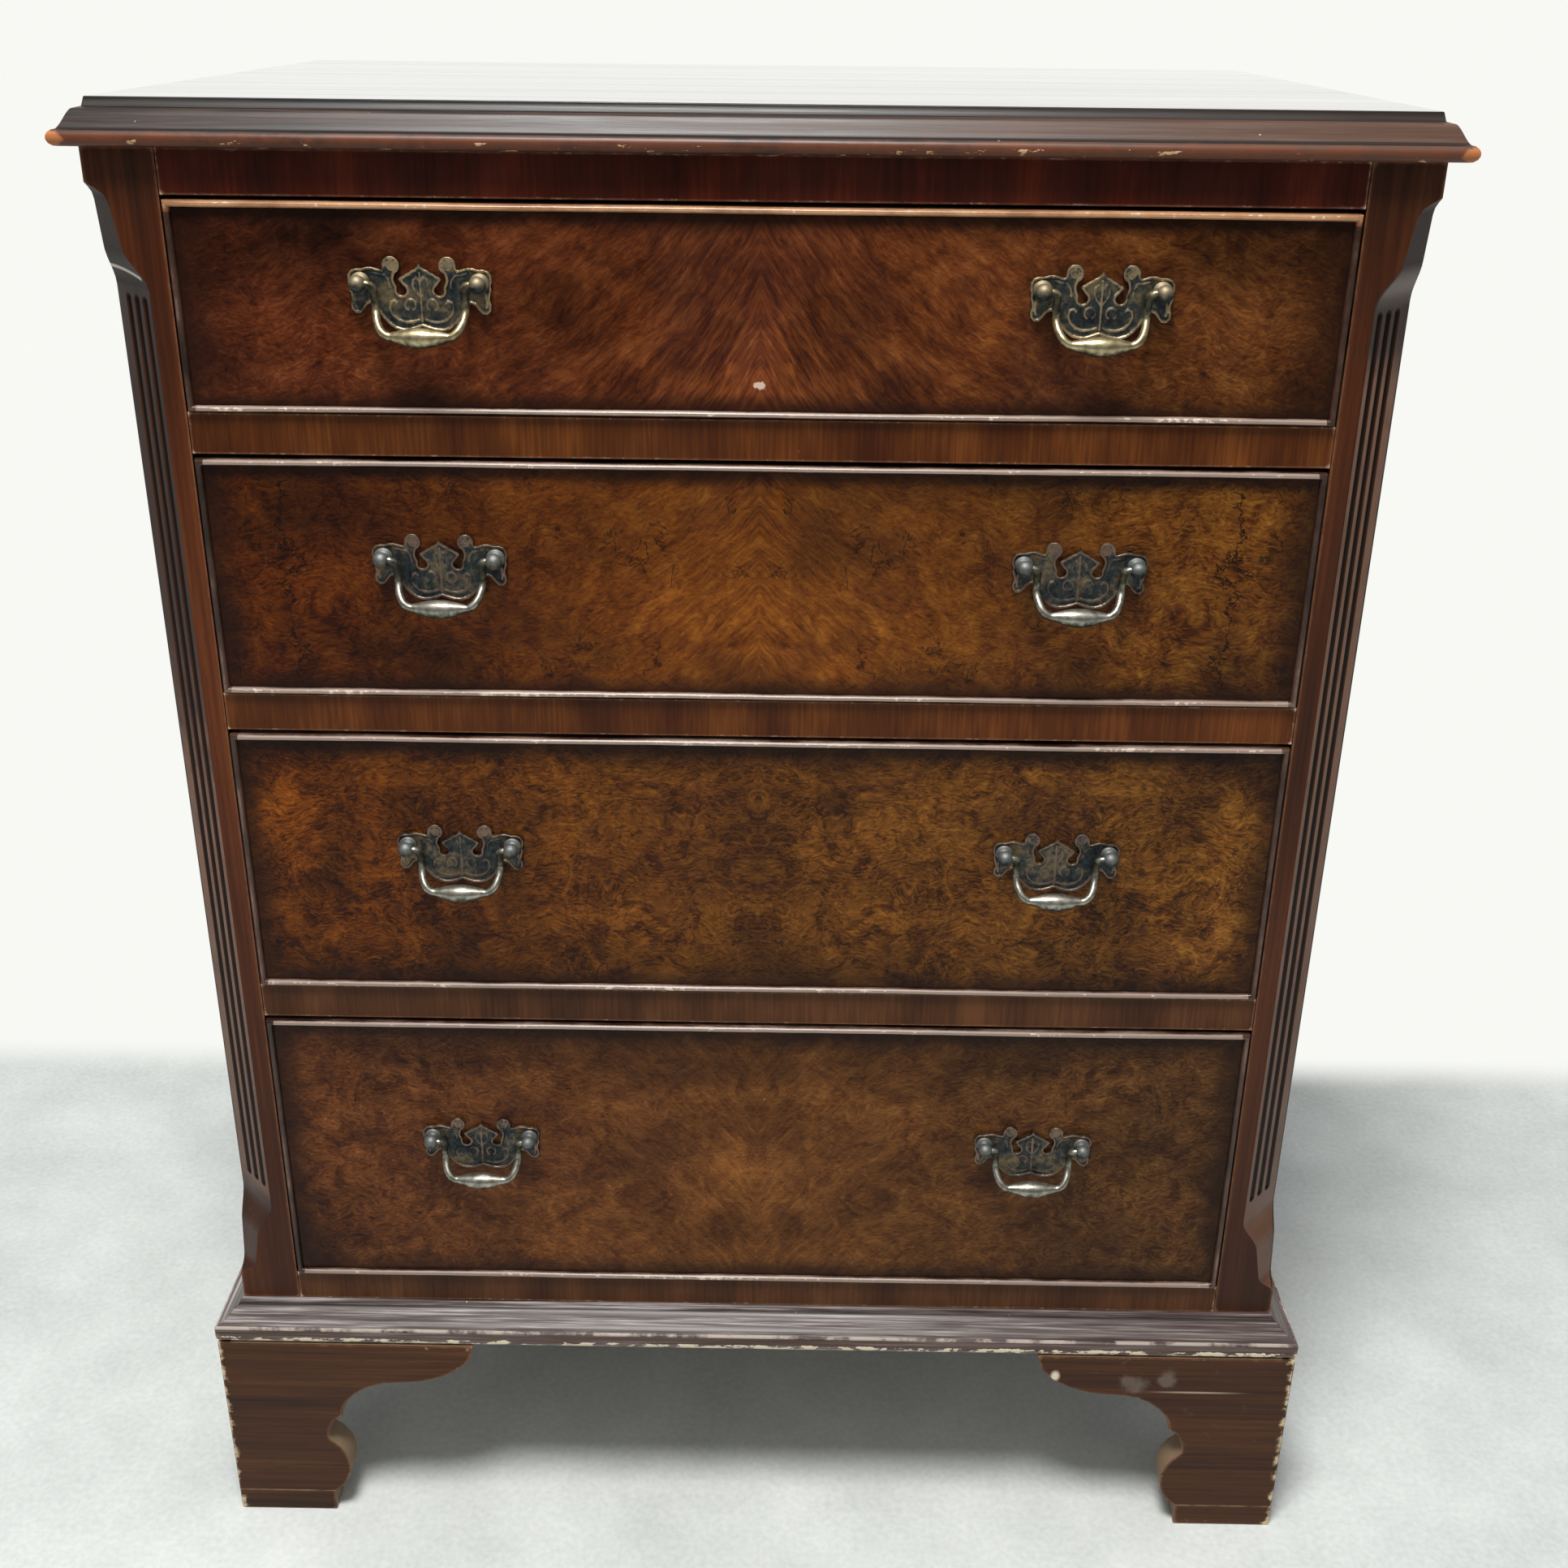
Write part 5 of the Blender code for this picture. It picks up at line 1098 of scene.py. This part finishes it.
def cast_plate():
    """Plate, rim and ornament as one skin, about the handle's middle, with -Y forwards."""
    half = plate_half()
    rim = half + [(-x, z) for x, z in reversed(half)][1:-1]
    shape = bmesh.new()
    face = shape.faces.new([shape.verts.new((x * MM, -BACK, z * MM)) for x, z in rim])
    solid = bmesh.ops.extrude_face_region(shape, geom=[face])["geom"]
    front = [item for item in solid if isinstance(item, bmesh.types.BMFace)]
    bmesh.ops.translate(shape, vec=(0.0, -THICK, 0.0), verts=front[0].verts)
    bmesh.ops.recalc_face_normals(shape, faces=shape.faces)
    band = bmesh.ops.inset_region(shape, faces=front, thickness=RIM_WIDE)["faces"]
    raised = bmesh.ops.extrude_face_region(shape, geom=band)["geom"]
    crown = [item for item in raised if isinstance(item, bmesh.types.BMVert)]
    bmesh.ops.translate(shape, vec=(0.0, -RIM_HIGH, 0.0), verts=crown)
    curve = bpy.data.curves.new("ornament", "CURVE")
    curve.dimensions = "3D"
    curve.bevel_depth = MM
    curve.bevel_resolution = 2
    curve.use_fill_caps = True
    for stroke, radius in ornament():
        for side in (-1, 1):
            spline = curve.splines.new("POLY")
            spline.points.add(len(stroke) - 1)
            for point, (x, z) in zip(spline.points, stroke):
                point.co = (side * x * MM, -ORNAMENT, z * MM, 1.0)
                point.radius = radius
    poured_into(shape, in_scene("ornament", curve))
    model = to_object(shape, "plate_casting", clean_plate)
    melt = model.modifiers.new("one skin", "REMESH")
    melt.mode = "VOXEL"
    melt.voxel_size = VOXEL
    skin = bmesh.new()
    poured_into(skin, model)
    bmesh.ops.smooth_vert(
        skin, verts=skin.verts, factor=0.5, use_axis_x=True, use_axis_y=True, use_axis_z=True
    )
    return skin


# %% [markdown]
# ## Turned posts and swinging bails
#
# Each plate carries two turned posts: a ball, a neck and a collar, and behind the drawer front a
# shank with a nut. A turned part is a profile that is spun. The bail is a rod that is thin at its
# ends and thick at the grip. Rings are placed along its path and bridged.

# %% A turned post
def turned_post(shape, x):
    """Adds one post to a bmesh, spun about an axis along Y."""
    ball = arc((0.0, 9.0), 4.2, 90, -56, 12)
    foot = [(2.3, 5.0), (2.6, 4.2), (4.2, 3.9), (4.8, 3.3), (4.8, 1.4), (2.1, 1.4), (2.1, -21.3)]
    nut = [(5.5, -21.3), (5.5, -25.0), (5.0, -25.3), (0.0, -25.3)]
    profile = ball + foot + nut
    corners = [
        shape.verts.new((x + max(radius, 0.0) * MM, -reach * MM, 0.0)) for radius, reach in profile
    ]
    line = [shape.edges.new(pair) for pair in zip(corners, corners[1:])]
    bmesh.ops.spin(
        shape, geom=corners + line, cent=(x, 0.0, 0.0), axis=(0.0, 1.0, 0.0), angle=2 * math.pi,
        steps=28, use_merge=True,
    )


# %% The bail
def bail_path():
    """(x, z, y, radius) in millimetres, from the right-hand pivot to the middle of the grip."""
    arm, corner, back, drop, forward, bend = 21.6, 14.0, 4.3, 23.8, 3.65, 11.5
    half = [
        (31.0, 0.0, 0.0, 1.5), (26.5, 0.0, 0.0, 1.5), (24.4, 0.1, 0.0, 1.8), (23.0, -0.5, 0.4, 2.1),
        (22.0, -1.8, 1.4, 2.1), (arm, -3.6, 2.6, 2.0), (arm, -6.0, 3.8, 1.9), (arm, -bend, back, 1.9),
    ]
    for step in range(1, 10):
        turn = math.pi / 2 * step / 9
        share = math.sin(turn)
        depth = back + (-forward - back) * share * share * (3 - 2 * share)
        x = corner + (arm - corner) * math.cos(turn) ** 1.1
        half.append((x, -bend + (-drop + bend) * share, depth, 1.9 * (1 + 0.1 * share)))
    for share in (0.10, 0.22, 0.36, 0.50, 0.66, 0.82, 1.0):
        swell = math.sin(math.pi / 2 * share) ** 1.2
        half.append((corner * (1 - share), -drop - 0.6 * swell, -forward, 2.1 + 2.85 * swell))
    return half


def forged_bail():
    """The whole bail about its axis, as rings bridged one to the next."""
    half = bail_path()
    path = half + [(-x, z, y, radius) for x, z, y, radius in reversed(half[:-1])]
    points = [Vector((x, y, z)) * MM for x, z, y, _ in path]
    shape = bmesh.new()
    pulled = shape.verts.layers.float.new("pulled")
    before = None
    for index, (point, (_, drop, _, radius)) in enumerate(zip(points, path)):
        ahead = points[min(index + 1, len(points) - 1)] - points[max(index - 1, 0)]
        tangent = ahead.normalized()
        side = tangent.cross(Vector((0.0, 1.0, 0.0))).normalized()
        turn = Matrix((side, side.cross(tangent) * -1.0, tangent)).transposed().to_4x4()
        placed = Matrix.Translation(point) @ turn
        ring = bmesh.ops.create_circle(
            shape, cap_ends=False, radius=radius * MM, segments=18, matrix=placed
        )["verts"]
        for vert in ring:
            vert[pulled] = min(max((-drop - 8.0) / 14.0, 0.0), 1.0)
        edges = list({edge for vert in ring for edge in vert.link_edges})
        if before:
            bmesh.ops.bridge_loops(shape, edges=before + edges)
        before = edges
    bmesh.ops.holes_fill(shape, edges=shape.edges, sides=0)
    bmesh.ops.recalc_face_normals(shape, faces=shape.faces)
    return shape


# %% Hang the eight handles
POST_APART = 57 * MM
POST_REACH = 9 * MM  # from the drawer front to the bail's axis
BAIL_END = 1.5 * MM  # radius of the bail's ends, which are the highest part of it at rest


def copy_of(shape, name, material, place, node):
    """A moved copy of a handle's part that stands for the model's own."""
    mine = shape.copy()
    bmesh.ops.translate(mine, vec=place, verts=mine.verts)
    stands_for(to_object(mine, name, material, 60.0), node)


plate_shape = cast_plate()
print("cast plate:", len(plate_shape.faces), "faces")
for side in (-1, 1):
    turned_post(plate_shape, side * POST_APART / 2)
bmesh.ops.remove_doubles(plate_shape, verts=plate_shape.verts, dist=1e-7)
bmesh.ops.recalc_face_normals(plate_shape, faces=plate_shape.faces)
bail_shape = forged_bail()
for word in DRAWERS:
    plate_brass, bail_brass = (clean_plate, clean_bail) if word == "top" else (dull_plate, dull_bail)
    for hand in SIDES:
        plate_node, bail_node = f"{word}_{hand}_handle_plate", f"{word}_{hand}_bail"
        low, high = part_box(bail_node)
        middle_x, axis_z = (low.x + high.x) / 2, high.z - BAIL_END
        on_front = (middle_x, FRONT, axis_z)
        on_axis = (middle_x, FRONT - POST_REACH, axis_z)
        copy_of(plate_shape, f"{plate_node}_cast", plate_brass, on_front, plate_node)
        copy_of(bail_shape, f"{bail_node}_forged", bail_brass, on_axis, bail_node)


# %% [markdown]
# ## Bare pine inside
#
# Drawer linings, dust boards and the back are plain boards in the model and in life, and keep their
# meshes. They were never polished. Old pine is honey coloured, with growth rings about 3 mm apart,
# which a sine of a slow noise draws as long bands, and with darker dust on it.

# %% Aged pine
def aged_pine(name, along):
    """Unpolished softwood with growth rings, its grain along X, Y or Z."""
    material, add, shader, place = new_finish(name, ior=1.45, shine=0.4)
    rings = grained(add, place, along, 0.60, 0.035, Detail=2.0, Distortion=0.3)
    ring = add("Math.MULTIPLY", rings, 70.0)
    ring = add("Math.SINE", ring)
    fibre = grained(add, place, along, 0.03, 0.0008, Detail=3.0)
    figure = add("Math.MULTIPLY_ADD", ring, 0.13, fibre)
    stops = [(0.30, "#7d5530"), (0.50, "#a87b4c"), (0.72, "#bd9362")]
    colour = add("ValToRGB", figure, stops=stops)
    dust = add("TexNoise", place, Scale=7.0, Detail=6.0, Roughness=0.65)
    dust = add("MapRange", dust, 0.40, 0.75, 0.0, 0.55)
    colour = stain(add, colour, dust, "#5b4230")
    rough = add("MapRange", dust, 0.0, 1.0, 0.66, 0.85)
    bring_together(add, shader, colour, rough, figure, 0.0002)
    return material


PINE = {axis: aged_pine(f"aged_pine_along_{axis.lower()}", axis) for axis in "XYZ"}
KEPT = {"back_panel": PINE["Z"], "top_kicker_frame": PINE["Y"]}
KEPT |= {f"{level}_dust_board": PINE["X"] for level in ("upper", "middle", "lower")}
for word in DRAWERS:
    KEPT[f"{word}_drawer_front"] = walnut[word]
    for part, axis in (("left_side", "Y"), ("right_side", "Y"), ("back", "X"), ("bottom", "X")):
        KEPT[f"{word}_drawer_{part}"] = PINE[axis]
for node, material in KEPT.items():
    nodes[node].data.materials.clear()
    nodes[node].data.materials.append(material)
print("pieces that keep their mesh:", len(KEPT))

# %% [markdown]
# ## Floor, light and camera
#
# The floor is plain pale concrete that fades to white behind the chest, as if it met a white wall. One
# large soft lamp high in front stands for an overcast sky, and the world adds an even fill.

# %% Floor
shape = bmesh.new()
bmesh.ops.create_grid(shape, x_segments=1, y_segments=1, size=4.0)
floor_material, add, shader, place = new_finish("pale_concrete")
behind = add("SeparateXYZ", place, out="Y")
cloudy = add("TexNoise", place, Scale=9.0, Detail=8.0, Roughness=0.6)
grit = add("TexNoise", place, Scale=240.0, Detail=3.0)
mottle = add("Mix", 0.35, A=cloudy, B=grit)
concrete = add("ValToRGB", mottle, stops=[(0.35, "#c3c7c5"), (0.65, "#dde1df")])
fade = add("MapRange", behind, 0.27, 0.33, **SMOOTH)
rays = add("LightPath", out=None).outputs
white = add("Math.MULTIPLY", fade, rays["Is Camera Ray"])
floor_material.node_tree.links.new(concrete, shader.inputs["Base Color"])
shader.inputs["Roughness"].default_value = 0.85
wall = add("Emission", Color=linear("#f8f9f4"), Strength=1.0)
mixed = add("MixShader", white, shader.outputs[0], wall)
output = floor_material.node_tree.nodes["Material Output"]
floor_material.node_tree.links.new(mixed, output.inputs["Surface"])
to_object(shape, "floor", floor_material)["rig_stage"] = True

# %% Sky and lamp
world = bpy.data.worlds.new("pale surroundings")
bpy.context.scene.world = world
world.use_nodes = True
world.node_tree.nodes.clear()
add = partial(add_node, world.node_tree)
axes = add("SeparateXYZ", add("TexCoord", out="Generated"), out=None).outputs
level = add(
    "Math.MAXIMUM", add("MapRange", axes["Y"], -0.10, 0.35, 0.10, 1.0),
    add("MapRange", axes["Z"], 0.25, 0.75, 0.0, 0.8),
)
rays = add("LightPath", out=None).outputs
fill = add("Background", Color=(0.97, 1.0, 1.0, 1.0), Strength=0.46)
shine = add("Background", Color=linear("#f8f9f6"), Strength=level)
seen = add("Background", Color=linear("#f8f9f4"), Strength=1.0)
lit = add("MixShader", rays["Is Glossy Ray"], fill, shine)
lit = add("MixShader", rays["Is Camera Ray"], lit, seen)
output = world.node_tree.nodes.new("ShaderNodeOutputWorld")
world.node_tree.links.new(lit, output.inputs["Surface"])

lamp_data = bpy.data.lights.new("overcast sky", "AREA")
lamp_data.shape = "DISK"
lamp_data.size = 0.7
lamp_data.energy = 70.0
lamp_data.color = (1.0, 0.985, 0.96)
lamp = in_scene("overcast sky", lamp_data)
lamp.location = (-0.20, -0.98, 2.65)
beam = Vector((0.0, -0.15, 0.40)) - lamp.location
lamp.rotation_euler = beam.to_track_quat("-Z", "Y").to_euler()

# %% [markdown]
# ## Camera
#
# The picture was taken from just above the top of the chest, quite close, and looking down. That
# makes the chest taper towards the floor. Focal length and position were solved from its corners.

# %% Camera
SIDE = 1932  # width and height of the picture in pixels
FOCAL = 2184.36  # in the same pixels
SENSOR = 36.0
YAW, PITCH, ROLL = -0.0079, 0.4234, -0.0112
EYE = (0.0206, FRONT - 0.8686, 0.9059)

camera_data = bpy.data.cameras.new("camera")
camera_data.sensor_width = SENSOR
camera_data.lens = FOCAL / SIDE * SENSOR
camera_data.clip_start = 0.01
camera = in_scene("camera", camera_data)
ahead = Vector((math.sin(YAW) * math.cos(PITCH), math.cos(YAW) * math.cos(PITCH), -math.sin(PITCH)))
right = Vector((math.cos(YAW), -math.sin(YAW), 0.0))
down = ahead.cross(right)
across = math.cos(ROLL) * right + math.sin(ROLL) * down
downwards = -math.sin(ROLL) * right + math.cos(ROLL) * down
turn = Matrix((across, -downwards, -ahead)).transposed().to_4x4()
camera.matrix_world = Matrix.Translation(EYE) @ turn
bpy.context.scene.camera = camera
bpy.context.scene.view_settings.view_transform = "Standard"

# %% Sizes, and the end
low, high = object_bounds()
print("outer size in mm:", [round(1000 * value, 1) for value in high - low])
